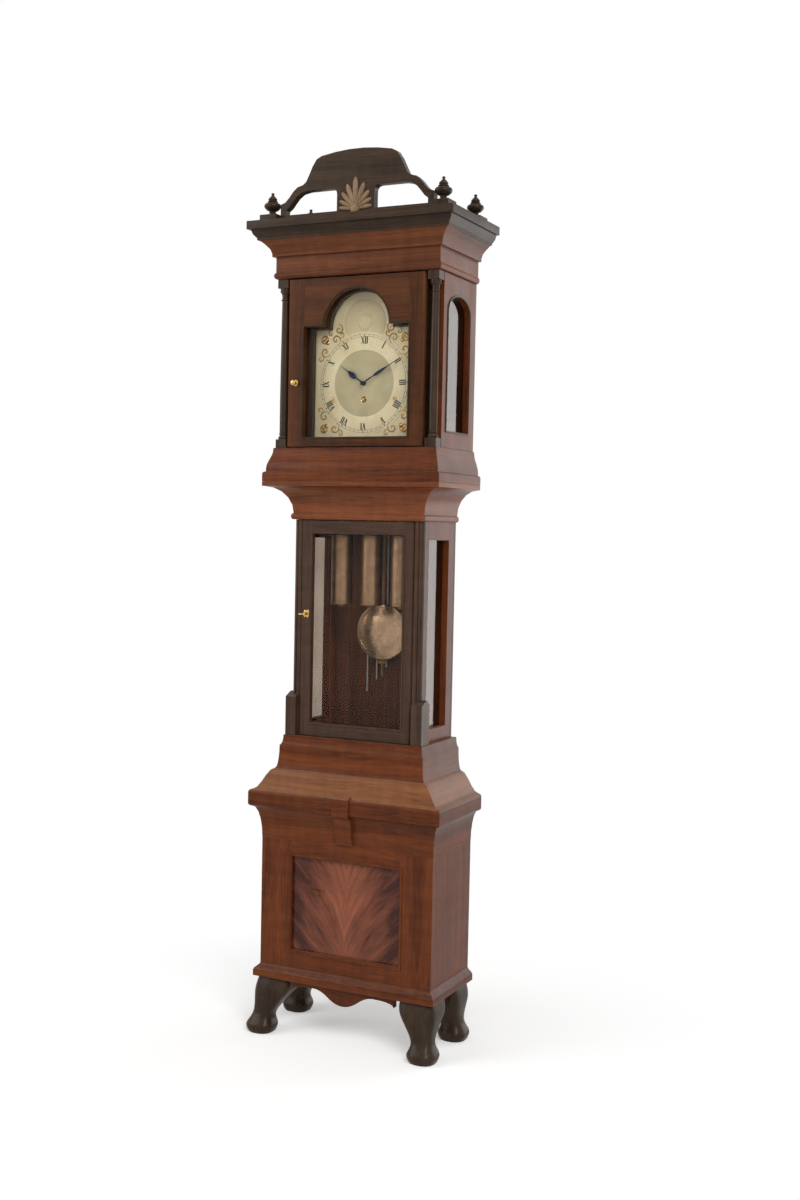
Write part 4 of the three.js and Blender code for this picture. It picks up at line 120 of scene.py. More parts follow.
def level_at(node, depth):
    """Where a turning lies that has the node's level axis, with its zero at a depth in millimetres."""
    return (middle(node).x, depth * MM, middle(node).z)


# Bench work: picking, shaping and finishing pieces

def leave():
    if bpy.context.object and bpy.context.object.mode != 'OBJECT':
        bpy.ops.object.mode_set(mode='OBJECT')


def nothing_picked():
    leave()
    bpy.ops.object.select_all(action='DESELECT')


def alone(piece):
    """Picks this piece and nothing else."""
    nothing_picked()
    piece.hide_set(False)
    piece.select_set(True)
    bpy.context.view_layer.objects.active = piece


def named(name):
    piece = bpy.context.object
    piece.name = name
    piece.data.name = name
    return piece


def edit(piece, kind='FACE'):
    alone(piece)
    bpy.ops.object.mode_set(mode='EDIT')
    bpy.ops.mesh.select_mode(type=kind)
    bpy.ops.mesh.select_all(action='SELECT')


def choose(piece, test, kind="faces"):
    """In edit mode, picks the faces, edges or corners that pass the test."""
    bpy.ops.mesh.select_all(action='DESELECT')
    mesh = bmesh.from_edit_mesh(piece.data)
    for part in getattr(mesh, kind):
        if test(part):
            part.select_set(True)
    mesh.select_flush_mode()
    bmesh.update_edit_mesh(piece.data)


def keep_picked():
    """In edit mode, deletes the faces that are not picked, and picks the rest."""
    bpy.ops.mesh.select_all(action='INVERT')
    bpy.ops.mesh.delete(type='FACE')
    bpy.ops.mesh.select_all(action='SELECT')


def copied(piece, name):
    """A copy with its own mesh."""
    alone(piece)
    bpy.ops.object.duplicate(linked=False)
    return named(name)


def joined(name, pieces):
    alone(pieces[0])
    for piece in pieces[1:]:
        piece.select_set(True)
    bpy.ops.object.join()
    return named(name)


def removed(*pieces):
    for piece in pieces:
        bpy.data.objects.remove(piece)


def placed(piece, move=(0, 0, 0), turn=0, about=(0, 0, 0)):
    """Moves a piece, then turns it about a line from front to back, and keeps its place in its mesh."""
    edit(piece, 'VERT')
    bpy.ops.transform.translate(value=move)
    if turn:
        bpy.ops.transform.rotate(value=turn, orient_axis='Y', center_override=about)
    leave()
    return piece


def stretched(piece, shares, about=(0, 0, 0)):
    edit(piece, 'VERT')
    bpy.ops.transform.resize(value=shares, center_override=about)
    leave()
    return piece


def laid_down(piece):
    """Puts the piece's place, turn and scale into its mesh."""
    alone(piece)
    bpy.ops.object.transform_apply(location=True, rotation=True, scale=True)
    return piece


def applied(piece, kind, **settings):
    """Adds a modifier with these settings and applies it."""
    alone(piece)
    change = piece.modifiers.new("work", kind)
    for key, value in settings.items():
        setattr(change, key, value)
    bpy.ops.object.modifier_apply(modifier=change.name)
    return piece


def settled(piece, edge=0, sides_out=True):
    """Puts the place into the mesh, turns the faces outward, rounds the edges and evens the shading."""
    laid_down(piece)
    if sides_out:
        edit(piece)
        bpy.ops.mesh.remove_doubles(threshold=WELD * MM)
        bpy.ops.mesh.normals_make_consistent(inside=False)
        leave()
    if edge:
        applied(piece, 'BEVEL', width=edge * MM, segments=2, limit_method='ANGLE', angle_limit=SMOOTH_ANGLE)
    alone(piece)
    bpy.ops.object.shade_smooth_by_angle(angle=SMOOTH_ANGLE)
    return applied(piece, 'WEIGHTED_NORMAL', keep_sharp=True)


def dressed(piece, material):
    piece.data.materials.clear()
    piece.data.materials.append(material)
    return piece


def fitted(piece, body, slot, material=None, stands_for=()):
    """Gives a settled piece its finish, and hangs it on the body that carries it."""
    dressed(piece, material or BY_SLOT[slot])
    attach(piece, body)
    if stands_for:
        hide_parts(*stands_for)
    return piece


def bar(name, centre, size, lean=0):
    """A squared bar about its centre, in millimetres, that leans to its right by an angle."""
    nothing_picked()
    bpy.ops.mesh.primitive_cube_add(
        size=1, location=metres(centre), rotation=(0, lean, 0), scale=metres(size))
    return named(name)


def block(name, corner, opposite):
    """A squared block between two corners, in millimetres."""
    centre = [(a + b) / 2 for a, b in zip(corner, opposite)]
    return bar(name, centre, [abs(a - b) for a, b in zip(corner, opposite)])


def turned(name, centre, profile, level=False, sides=TURNING_SIDES):
    """A turning, drawn out ring by ring from a circle, upright or lying from front to back.

    The centre is in metres. The profile has (radius, place along the axis) in millimetres from the
    centre, and one that ends where it starts makes a ring with an open middle."""
    axis = 1 if level else 2
    ring = profile[0] == profile[-1]

    def at(place):
        point = Vector(centre)
        point[axis] += place * MM
        return point

    nothing_picked()
    radius, place = profile[0]
    bpy.ops.mesh.primitive_circle_add(
        vertices=sides, radius=radius * MM, fill_type='NOTHING' if ring else 'NGON', location=at(place),
        rotation=(math.pi / 2, 0, 0) if level else (0, 0, 0))
    piece = named(name)
    edit(piece, 'EDGE' if ring else 'FACE')
    for next_radius, next_place in profile[1:]:
        shift = [0, 0, 0]
        shift[axis] = (next_place - place) * MM
        bpy.ops.mesh.extrude_region_move(TRANSFORM_OT_translate={"value": shift})
        growth = [next_radius / radius] * 3
        growth[axis] = 1
        bpy.ops.transform.resize(value=growth, center_override=at(next_place))
        radius, place = next_radius, next_place
    leave()
    return piece


def band(inner, outer, back, front):
    """The profile of a flat ring."""
    return [(inner, back), (outer, back), (outer, front), (inner, front), (inner, back)]


def quarter(start, end, along_first, steps=CURVE_STEPS):
    """Points of a quarter curve between two (radius, place) points, without the first."""
    points = []
    for i in range(1, steps + 1):
        angle = i / steps * math.pi / 2
        lead, lag = math.sin(angle), 1 - math.cos(angle)
        across, along = (lag, lead) if along_first else (lead, lag)
        points.append((start[0] + (end[0] - start[0]) * across, start[1] + (end[1] - start[1]) * along))
    return points


def bead(radius, start, end, bulge, steps=CURVE_STEPS):
    """Points of a half-round bead on a radius, with its foot and its top."""
    points = []
    for i in range(steps + 1):
        angle = i / steps * math.pi
        points.append((radius + bulge * math.sin(angle), start + (end - start) * (1 - math.cos(angle)) / 2))
    return points


def swelling(points, steps=CURVE_STEPS):
    """Points of a smooth line through the given (radius, place) points."""
    line = [points[0]]
    ends = [points[0]] + list(points) + [points[-1]]
    for i in range(1, len(points)):
        a, b, c, d = ends[i - 1], ends[i], ends[i + 1], ends[i + 2]
        for k in range(1, steps + 1):
            t = k / steps
            line.append(tuple(
                0.5 * (2 * b[j] + (c[j] - a[j]) * t + (2 * a[j] - 5 * b[j] + 4 * c[j] - d[j]) * t ** 2
                       + (3 * b[j] - a[j] - 3 * c[j] + d[j]) * t ** 3) for j in (0, 1)))
    return line


def wire(name, points, radius, shares=None, resolution=3):
    """A round wire through points in metres; shares thin it along its length."""
    nothing_picked()
    bpy.ops.curve.primitive_nurbs_path_add()
    piece = named(name)
    piece.location = (0, 0, 0)
    spline = piece.data.splines[0]
    spline.type = 'POLY'
    spline.points.add(len(points) - len(spline.points))
    for i, point in enumerate(points):
        spline.points[i].co = (*point, 1)
        spline.points[i].radius = shares[i] if shares else 1
    piece.data.bevel_depth = radius
    piece.data.bevel_resolution = resolution
    piece.data.use_fill_caps = True
    alone(piece)
    bpy.ops.object.convert(target='MESH')
    return named(name)


def cad_copy(node, cuts=()):
    """A merged copy of a CAD node, cut through at the given (point, direction) planes where boards meet."""
    alone(frame["nodes"][node])
    bpy.ops.object.duplicate(linked=False)
    piece = named(f"{node}_piece")
    piece.parent = None
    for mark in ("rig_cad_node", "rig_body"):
        del piece[mark]
    edit(piece)
    bpy.ops.mesh.remove_doubles(threshold=WELD * MM)
    bpy.ops.mesh.dissolve_limited(angle_limit=FLAT_ANGLE)
    for point, direction in cuts:
        bpy.ops.mesh.select_all(action='SELECT')
        bpy.ops.mesh.bisect(plane_co=metres(point), plane_no=direction)
    leave()
    return piece


def eased(node, edge, cuts=()):
    """A CAD node's copy with its edges rounded."""
    return settled(cad_copy(node, cuts), edge, sides_out=False)


def lay_grain(piece, run=UPRIGHT):
    """Stores on each face's corners which way its board runs: one way, or by a rule for each face."""
    runs = piece.data.attributes.new("run", 'FLOAT_VECTOR', 'CORNER')
    for face in piece.data.polygons:
        way = run(face.center / MM, face.normal) if callable(run) else run
        for corner in face.loop_indices:
            runs.data[corner].vector = way
    return piece


# Finishes

def tint(code):
    """A colour written as six hex digits, as a linear colour."""
    parts = [int(code[i:i + 2], 16) / 255 for i in (0, 2, 4)]
    return [p / 12.92 if p <= 0.04045 else ((p + 0.055) / 1.055) ** 2.4 for p in parts] + [1]


class Wiring:
    """Adds nodes to a tree, and feeds their sockets with links and values."""

    def __init__(self, tree):
        self.tree = tree

    def feed(self, sockets, values):
        for socket, value in values.items():
            if isinstance(value, bpy.types.NodeSocket):
                self.tree.links.new(value, sockets[socket])
            else:
                sockets[socket].default_value = value

    def add(self, kind, inputs=None, **settings):
        node = self.tree.nodes.new(kind)
        for key, value in settings.items():
            setattr(node, key, value)
        self.feed(node.inputs, inputs or {})
        return node

    def place(self):
        return self.add('ShaderNodeTexCoord').outputs["Object"]

    def normal(self):
        return self.add('ShaderNodeNewGeometry').outputs["Normal"]

    def rays(self):
        return self.add('ShaderNodeLightPath').outputs

    def sum(self, kind, *values, clamp=False):
        inputs = dict(enumerate(values))
        return self.add('ShaderNodeMath', inputs, operation=kind, use_clamp=clamp).outputs[0]

    def vector(self, kind, *values, scale=None):
        inputs = dict(enumerate(values))
        if scale is not None:
            inputs["Scale"] = scale
        node = self.add('ShaderNodeVectorMath', inputs, operation=kind)
        return node.outputs["Value" if kind in ('DOT_PRODUCT', 'LENGTH') else "Vector"]

    def spread(self, value, start, end, low_value=0.0, high_value=1.0):
        inputs = {"Value": value, "From Min": start, "From Max": end,
                  "To Min": low_value, "To Max": high_value}
        return self.add('ShaderNodeMapRange', inputs).outputs["Result"]

    def blend(self, share, first, second):
        return self.add('ShaderNodeMix', {0: share, 6: first, 7: second}, data_type='RGBA').outputs[2]

    def noise(self, place, scale, detail=3.0, roughness=0.55, distortion=0.0):
        inputs = {"Vector": place, "Scale": scale, "Detail": detail, "Roughness": roughness,
                  "Distortion": distortion}
        return self.add('ShaderNodeTexNoise', inputs).outputs["Fac"]

    def drift(self, place, scale, reach, detail=2.0):
        """A slowly changing shift that bends a pattern."""
        noise = self.add('ShaderNodeTexNoise', {"Vector": place, "Scale": scale, "Detail": detail})
        return self.vector('SCALE', noise.outputs["Color"], scale=reach)

    def bump(self, height, strength, depth=0.0002):
        inputs = {"Height": height, "Strength": strength, "Distance": depth}
        return self.add('ShaderNodeBump', inputs).outputs[0]

    def grouped(self, tree, **inputs):
        return self.add('ShaderNodeGroup', inputs, node_tree=tree).outputs


def group(name, inputs, outputs):
    """An empty shader group with named sockets, its wiring, and the sockets of its input and output."""
    tree = bpy.data.node_groups.new(name, 'ShaderNodeTree')
    for label, kind, value in inputs:
        socket = tree.interface.new_socket(label, in_out='INPUT', socket_type=f'NodeSocket{kind}')
        socket.default_value = value
    for label, kind in outputs:
        tree.interface.new_socket(label, in_out='OUTPUT', socket_type=f'NodeSocket{kind}')
    wiring = Wiring(tree)
    return wiring, wiring.add('NodeGroupInput').outputs, wiring.add('NodeGroupOutput').inputs


def wood_grain():
    """Grain, pores and cross figure that follow each board's run."""
    wiring, given, out = group(
        "wood_grain",
        [("Light", 'Color', tint("7a4226")), ("Dark", 'Color', tint("3a1c10")), ("Figure", 'Float', 0.14),
         ("Streaks", 'Float', 1.0)],
        [("Color", 'Color'), ("Gloss", 'Float'), ("Height", 'Float')])
    place = wiring.place()
    stored = wiring.add('ShaderNodeAttribute', attribute_name="run").outputs["Vector"]
    missing = wiring.sum('LESS_THAN', wiring.vector('LENGTH', stored), 0.5)
    fallback = wiring.add('ShaderNodeCombineXYZ', {"Z": missing}).outputs[0]
    run = wiring.vector('ADD', stored, fallback)
    along = wiring.vector('DOT_PRODUCT', place, run)
    drift = wiring.drift(place, 2.2, 0.035, 1.0)
    shortened = wiring.vector('SCALE', run, scale=wiring.sum('MULTIPLY', along, -0.95))
    lengthwise = wiring.vector('ADD', wiring.vector('ADD', place, shortened), drift)
    broad = wiring.noise(lengthwise, 26, 2)
    fine = wiring.noise(lengthwise, wiring.sum('MULTIPLY', given["Streaks"], 190), 4, 0.6)
    pores = wiring.spread(wiring.noise(lengthwise, 1100, 1), 0.6, 0.72)
    lengthened = wiring.vector('SCALE', run, scale=wiring.sum('MULTIPLY', along, 3))
    crosswise = wiring.vector('ADD', place, lengthened)
    figure = wiring.spread(wiring.noise(crosswise, 11, 2, 0.4), 0.35, 0.65)
    tone = wiring.sum('MULTIPLY', wiring.spread(broad, 0.3, 0.7), 0.55)
    tone = wiring.sum('MULTIPLY_ADD', wiring.spread(fine, 0.3, 0.7), 0.45, tone)
    tone = wiring.sum('MULTIPLY_ADD', wiring.sum('SUBTRACT', figure, 0.5), given["Figure"], tone, clamp=True)
    colour = wiring.blend(tone, given["Dark"], given["Light"])
    colour = wiring.blend(wiring.sum('MULTIPLY', pores, 0.5), colour, given["Dark"])
    gloss = wiring.spread(fine, 0.2, 0.8, 0.24, 0.36)
    height = wiring.sum('MULTIPLY_ADD', pores, -0.8, wiring.sum('MULTIPLY', fine, 0.25))
    wiring.feed(out, {"Color": colour, "Gloss": gloss, "Height": height})
    return wiring.tree


def rubbed_edges():
    """Colour rubbed lighter in patches along the edges that hands and dusters touch."""
    wiring, given, out = group(
        "rubbed_edges",
        [("Color", 'Color', tint("5c3322")), ("Worn", 'Color', tint("9a6a48")), ("Wear", 'Float', 0.5)],
        [("Color", 'Color')])
    rounded = wiring.add('ShaderNodeBevel', {"Radius": 0.0014}, samples=3).outputs["Normal"]
    turn = wiring.sum('SUBTRACT', 1.0, wiring.vector('DOT_PRODUCT', wiring.normal(), rounded))
    patches = wiring.spread(wiring.noise(wiring.place(), 9, 4), 0.4, 0.7)
    mask = wiring.sum('MULTIPLY', wiring.spread(turn, 0.01, 0.12), patches, clamp=True)
    mask = wiring.sum('MULTIPLY', mask, given["Wear"], clamp=True)
    wiring.feed(out, {"Color": wiring.blend(mask, given["Color"], given["Worn"])})
    return wiring.tree


def house_dust():
    """A thin veil of dust on what faces up, and faint wiping marks everywhere."""
    wiring, given, out = group(
        "house_dust",
        [("Color", 'Color', tint("5c3322")), ("Gloss", 'Float', 0.3), ("Dust", 'Float', 0.2)],
        [("Color", 'Color'), ("Gloss", 'Float')])
    place = wiring.place()
    upward = wiring.spread(wiring.vector('DOT_PRODUCT', wiring.normal(), UPRIGHT), 0.5, 0.95)
    specks = wiring.spread(wiring.noise(place, 60, 5, 0.7), 0.35, 0.75)
    veil = wiring.sum('MULTIPLY', wiring.sum('MULTIPLY', upward, specks), given["Dust"], clamp=True)
    wiped = wiring.spread(wiring.noise(place, 7, 4, 0.6, 0.6), 0.4, 0.7)
    gloss = wiring.sum('MULTIPLY_ADD', wiped, 0.1, given["Gloss"])
    gloss = wiring.sum('MULTIPLY_ADD', veil, 0.4, gloss, clamp=True)
    wiring.feed(out, {"Color": wiring.blend(veil, given["Color"], tint("a79c8e")), "Gloss": gloss})
    return wiring.tree


def metal_age():
    """Patches where a metal has dulled, and fine marks of polishing."""
    wiring, given, out = group(
        "metal_age",
        [("Bright", 'Color', tint("c59a4a")), ("Dull", 'Color', tint("6b5026")), ("Age", 'Float', 0.4),
         ("Polish", 'Float', 0.2)],
        [("Color", 'Color'), ("Gloss", 'Float'), ("Height", 'Float')])
    place = wiring.place()
    patches = wiring.spread(wiring.noise(place, 38, 5, 0.65), 0.4, 0.72)
    marks = wiring.noise(wiring.vector('MULTIPLY', place, (1, 1, 0.08)), 900, 3, 0.7)
    spots = wiring.spread(wiring.noise(place, 260, 2), 0.66, 0.74)
    aged = wiring.sum('MULTIPLY', patches, given["Age"], clamp=True)
    aged = wiring.sum('MULTIPLY_ADD', spots, 0.25, aged, clamp=True)
    gloss = wiring.sum('MULTIPLY_ADD', aged, 0.25, given["Polish"])
    gloss = wiring.sum('MULTIPLY_ADD', marks, 0.08, gloss)
    colour = wiring.blend(aged, given["Bright"], given["Dull"])
    wiring.feed(out, {"Color": colour, "Gloss": gloss, "Height": marks})
    return wiring.tree


GRAIN, RUBBED, DUST, METAL = wood_grain(), rubbed_edges(), house_dust(), metal_age()
WOOD_SHEEN = 0.1


def finish(name, coat=0.0, sheen=0.5):
    """A new material with a Principled shader, and its wiring."""
    material = bpy.data.materials.new(name)
    material.use_nodes = True
    wiring = Wiring(material.node_tree)
    shader = material.node_tree.nodes["Principled BSDF"]
    wiring.feed(shader.inputs, {"Coat Weight": coat, "Coat Roughness": 0.12, "Specular IOR Level": sheen})
    return material, wiring, shader


def surfaced(wiring, shader, colour, gloss, height, strength):
    """Feeds colour, roughness and a bump to the shader."""
    bump = wiring.bump(height, strength)
    wiring.feed(shader.inputs, {"Base Color": colour, "Roughness": gloss, "Normal": bump})


def used_wood(wiring, shader, colour, gloss, height, strength, worn, wear, dust):
    """Wood with rubbed edges and a veil of dust."""
    rubbed = wiring.grouped(RUBBED, Color=colour, Worn=tint(worn), Wear=wear)
    dusty = wiring.grouped(DUST, Color=rubbed["Color"], Gloss=gloss, Dust=dust)
    surfaced(wiring, shader, dusty["Color"], dusty["Gloss"], height, strength)


def wood(name, light, dark, worn, figure=0.14, streaks=1.0, wear=0.5, dust=0.25, coat=0.06):
    material, wiring, shader = finish(name, coat, WOOD_SHEEN)
    grain = wiring.grouped(GRAIN, Light=tint(light), Dark=tint(dark), Figure=figure, Streaks=streaks)
    used_wood(wiring, shader, grain["Color"], grain["Gloss"], grain["Height"], 0.25, worn, wear, dust)
    return material


def stained_wood(name, light, dark, worn):
    return wood(name, light, dark, worn, figure=0.15, wear=0.45, dust=0.15, coat=0.1)


def flame_wood():
    """Crotch mahogany: strands that sweep up and outward from the middle of the panel, with a painted sheen
    that lightens the middle and darkens the sides.
    """
    material, wiring, shader = finish("flame_mahogany", 0.3, WOOD_SHEEN)
    place = wiring.place()
    parts = wiring.add('ShaderNodeSeparateXYZ', {"Vector": place}).outputs
    sideways = wiring.sum('SUBTRACT', parts["X"], 0.015)
    aside = wiring.sum('ABSOLUTE', wiring.sum('MULTIPLY_ADD', wiring.noise(place, 7, 2), 0.03, sideways))
    sweep = wiring.sum('POWER', wiring.sum('ADD', aside, 0.004), 0.55)
    rise = wiring.sum('MULTIPLY_ADD', sweep, -0.62, parts["Z"])
    across = wiring.sum('MULTIPLY', aside, 0.35)
    strands = wiring.add('ShaderNodeCombineXYZ', {"X": across, "Z": rise}).outputs[0]
    plumes = wiring.spread(wiring.noise(strands, 34, 4, 0.6), 0.34, 0.66)
    hairs = wiring.spread(wiring.noise(strands, 260, 4, 0.65), 0.3, 0.7)
    # Painted sheen, partly the crotch figure's own lighter heart: lighter in the middle of the panel and
    # darker towards its sides.
    painted_sheen_and_figure = wiring.spread(aside, 0.0, 0.13, 0.35, -0.3)
    tone = wiring.sum('MULTIPLY_ADD', hairs, 0.25, painted_sheen_and_figure)
    tone = wiring.sum('MULTIPLY_ADD', plumes, 0.6, tone, clamp=True)
    colour = wiring.blend(tone, tint("3c160b"), tint("96553a"))
    gloss = wiring.spread(hairs, 0, 1, 0.2, 0.32)
    used_wood(wiring, shader, colour, gloss, hairs, 0.12, "b07a58", 0.5, 0.2)
    return material


def metal(name, bright, dull, age, polish=0.2, strength=0.08):
    material, wiring, shader = finish(name)
    shader.inputs["Metallic"].default_value = 1
    aged = wiring.grouped(METAL, Bright=tint(bright), Dull=tint(dull), Age=age, Polish=polish)
    surfaced(wiring, shader, aged["Color"], aged["Gloss"], aged["Height"], strength)
    return material


def glass(name, clear_tone, film_tone, bend):
    """Old drawn glass: slightly wavy, with a faint film, and open to the light that falls through it."""
    material, wiring, shader = finish(name)
    place = wiring.place()
    film = wiring.spread(wiring.noise(place, 6, 4, 0.6), 0.4, 0.75)
    waves = wiring.noise(wiring.vector('MULTIPLY', place, (1, 1, 0.35)), 14, 1)
    wiring.feed(shader.inputs, {
        "Transmission Weight": 1, "IOR": bend, "Roughness": 0,
        "Base Color": wiring.blend(film, tint(clear_tone), tint(film_tone)),
        "Normal": wiring.bump(waves, 0.12, 0.002)})
    rays = wiring.rays()
    open_to = wiring.sum('MAXIMUM', rays["Is Shadow Ray"], rays["Is Diffuse Ray"])
    clear = wiring.add('ShaderNodeBsdfTransparent').outputs[0]
    mixed = wiring.add('ShaderNodeMixShader', {0: open_to, 1: shader.outputs[0], 2: clear}).outputs[0]
    wiring.feed(material.node_tree.nodes["Material Output"].inputs, {"Surface": mixed})
    return material


def dial_paint(name, ground, stain, matt=0.0):
    """Old paint: yellowed in patches, finely crazed, with a few specks."""
    material, wiring, shader = finish(name)
    place = wiring.place()
    patches = wiring.spread(wiring.noise(place, 13, 4), 0.4, 0.75)
    bent = wiring.vector('ADD', place, wiring.drift(place, 45.0, 0.012))
    cracks = wiring.add('ShaderNodeTexVoronoi', {"Vector": bent, "Scale": 75.0}, feature='DISTANCE_TO_EDGE')
    lines = wiring.spread(cracks.outputs["Distance"], 0.0, 0.035, 1.0, 0.0)
    specks = wiring.spread(wiring.noise(place, 420, 2), 0.68, 0.75)
    marks = wiring.sum('MULTIPLY_ADD', lines, 0.22, wiring.sum('MULTIPLY', specks, 0.35), clamp=True)
    colour = wiring.blend(wiring.sum('MULTIPLY', patches, 0.55), tint(ground), tint(stain))
    colour = wiring.blend(marks, colour, tint("6b5a3c"))
    gloss = wiring.spread(patches, 0, 1, 0.42 + matt, 0.6 + matt)
    surfaced(wiring, shader, colour, gloss, wiring.sum('MULTIPLY', lines, -1.0), 0.2)
    return material


MAHOGANY = wood("polished_mahogany", "7a3f1d", "3a180a", "a56a42")
# Painted shade: a darker copy of the mahogany for the hood door, standing for the shade the columns cast on
# its stiles.
SHADED_DOOR_WOOD = wood("shaded_door_mahogany", "603618", "2c1508", "8c5c38", figure=0.12)
# Painted highlight: a lighter copy of the mahogany for the ledge's sloped top, standing for the light that
# falls on it from above.
LEDGE_HIGHLIGHT_WOOD = wood("ledge_highlight_mahogany", "98623c", "5d371f", "b88458")
DARK_WOOD = stained_wood("dark_stained_wood", "463425", "22170e", "6e5038")
# Painted light: a slightly lighter copy of the mahogany for the frieze, offsetting the shade under the
# cornice's crown.
FRIEZE_PAINTED_LIGHT_WOOD = wood("frieze_painted_light_mahogany", "7c4626", "3c1d10", "a56a42")
# Painted light: a lighter copy of the mahogany for the throat cove, standing for light caught in a cove that
# faces down into shade.
THROAT_PAINTED_LIGHT_WOOD = wood("throat_painted_light_mahogany", "8e5130", "4c2716", "ae744c")
TRUNK_DOOR_WOOD = stained_wood("trunk_door_wood", "574032", "2e2018", "7c5c44")
INNER_WOOD = wood("inner_lining", "5e351e", "33190c", "7a5438", figure=0.1, wear=0.2, dust=0.08, coat=0)
PLAIN_WOOD = wood("plain_softwood", "9a7450", "6b4a2f", "b08a64", figure=0.05, streaks=0.6, wear=0.2, coat=0)
CARVED_WOOD = wood("carved_wood", "a1866a", "6e563f", "b89e82", figure=0.1, wear=0.7, dust=0.2, coat=0.1)
FLAME_WOOD = flame_wood()
DOOR_GLASS = glass("old_door_glass", "fbf9f4", "efeae0", bend=1.18)
SIDE_GLASS = glass("smoky_side_glass", "a4978b", "908376", bend=1.4)
BRASS = metal("polished_brass", "c9a668", "86683c", age=0.45)
WEIGHT_BRASS = metal("weight_brass", "8a6f58", "4e3b2c", age=0.6, polish=0.26)
BOB_BRASS = metal("bob_brass", "a88d74", "5a463a", age=0.5)
CAST_BRASS = metal("cast_brass", "b08c50", "5c4724", age=0.55, polish=0.32, strength=0.3)
STEEL = metal("bright_steel", "9b9ea1", "5f5c58", age=0.4, polish=0.25)
BLUED = metal("blued_steel", "1c2740", "14161d", age=0.5, polish=0.22)
BLACK_PAINT = dial_paint("black_numerals", "1a1714", "2b241b")
CREAM = dial_paint("cream_dial", "d9cda9", "b9a579")
CENTRE_GREY = dial_paint("matted_centre", "afa583", "8c8460", 0.15)
ARCH_PAINT = dial_paint("arch_paint", "c8bb96", "a89a72", 0.1)
BY_SLOT = {
    "mahogany": MAHOGANY, "dark_wood": DARK_WOOD, "figured_wood": FLAME_WOOD, "inner_wood": INNER_WOOD,
    "plain_wood": PLAIN_WOOD, "polished_brass": BRASS, "cast_brass": CAST_BRASS, "steel": STEEL,
    "blued_steel": BLUED, "painted_dial": CREAM,
}


# Case: the CAD's boards and mouldings with eased edges, and grain along each board

PANEL_HALF = 155
TRUNK_OPENING_HALF = 129.5
HOOD_OPENING_HALF = 146.5
LEDGE_BOTTOM = 632
LEDGE_TOP = 690
POST_BACK = -32
CROWN_BOTTOM = 2041.6
CROWN_HALF = 264.2
CROWN_FRONT = -124.2
CORNICE_BEAD = 3
PLANK_WIDTH = 112
GROOVE_HALF = 1.2
GROOVE_DEPTH = 1.5
BEAD_MARGIN = 1
BEAD_WIDTH = 4.4
BEAD_RISE = 2.2
BEAD_EDGE = 0.99
COLUMN_BLOCK = 22
FINIAL_BLOCK = 18
BLOCK_EDGE = 0.8
FAN_FOOT = 2101
FAN_LOBES = 9
FAN_REACH = 80
FAN_SPREAD = math.radians(164)
FAN_FLATNESS = 0.42
LOBE_HALF = 9
LOBE_RELIEF = 7
LOBE_SUNK = 0.2
LOBE_WAIST = ((0.85, 0.95), (0.7, 0.9), (0.55, 0.84), (0.4, 0.78), (0.25, 0.7))


def board(node, slot, run=UPRIGHT, cuts=(), edge=EDGE, material=None):
    piece = lay_grain(eased(node, edge, cuts), run)
    return fitted(piece, body_of(node), slot, material, [node])


def moulding(node, slot, material=None):
    """Front runs lie across and side runs lie deep, with mitres at the two front corners."""
    half, front = high(node).x / MM, low(node).y / MM

    def run(place, normal):
        if abs(normal.x) > 0.5:
            return DEEP
        if normal.y < -0.5:
            return ACROSS
        return DEEP if half - abs(place.x) < place.y - front else ACROSS

    mitres = [((side * half, front, 0), (side, 1, 0)) for side in (-1, 1)]
    return board(node, slot, run, mitres, material=material)


def framed(node, slot, opening_half, material=None):
    """Stiles stand upright, and rails lie across between them."""
    def run(place, normal):
        return UPRIGHT if abs(place.x) > opening_half or abs(normal.x) > 0.5 else ACROSS

    joints = [((side * opening_half, 0, 0), ACROSS) for side in (-1, 1)]
    return board(node, slot, run, joints, material=material)


def refaced(piece, material, test):
    """Gives the faces whose middle, in millimetres, passes the test a finish of their own."""
    piece.data.materials.append(material)
    last = len(piece.data.materials) - 1
    for face in piece.data.polygons:
        if test(face.center / MM):
            face.material_index = last
    return piece


def planked(node, slot):
    """A board of upright planks, with a V groove on both faces where two planks meet."""
    count = round(half_width(node) * 2 / PLANK_WIDTH)
    joints = [(i - count / 2) * PLANK_WIDTH for i in range(1, count)]
    cuts = [((joint + step * GROOVE_HALF, 0, 0), ACROSS) for joint in joints for step in (-1, 0, 1)]
    piece = cad_copy(node, cuts)
    for face, inward in ((low(node).y, 1), (high(node).y, -1)):
        edit(piece, 'VERT')
        choose(piece, lambda v: abs(v.co.y - face) < NEAR * MM
               and any(abs(v.co.x - joint * MM) < NEAR * MM for joint in joints), "verts")
        bpy.ops.transform.translate(value=(0, inward * GROOVE_DEPTH * MM, 0))
        leave()
    lay_grain(settled(piece, FINE_EDGE, sides_out=False))
    return fitted(piece, body_of(node), slot, stands_for=[node])


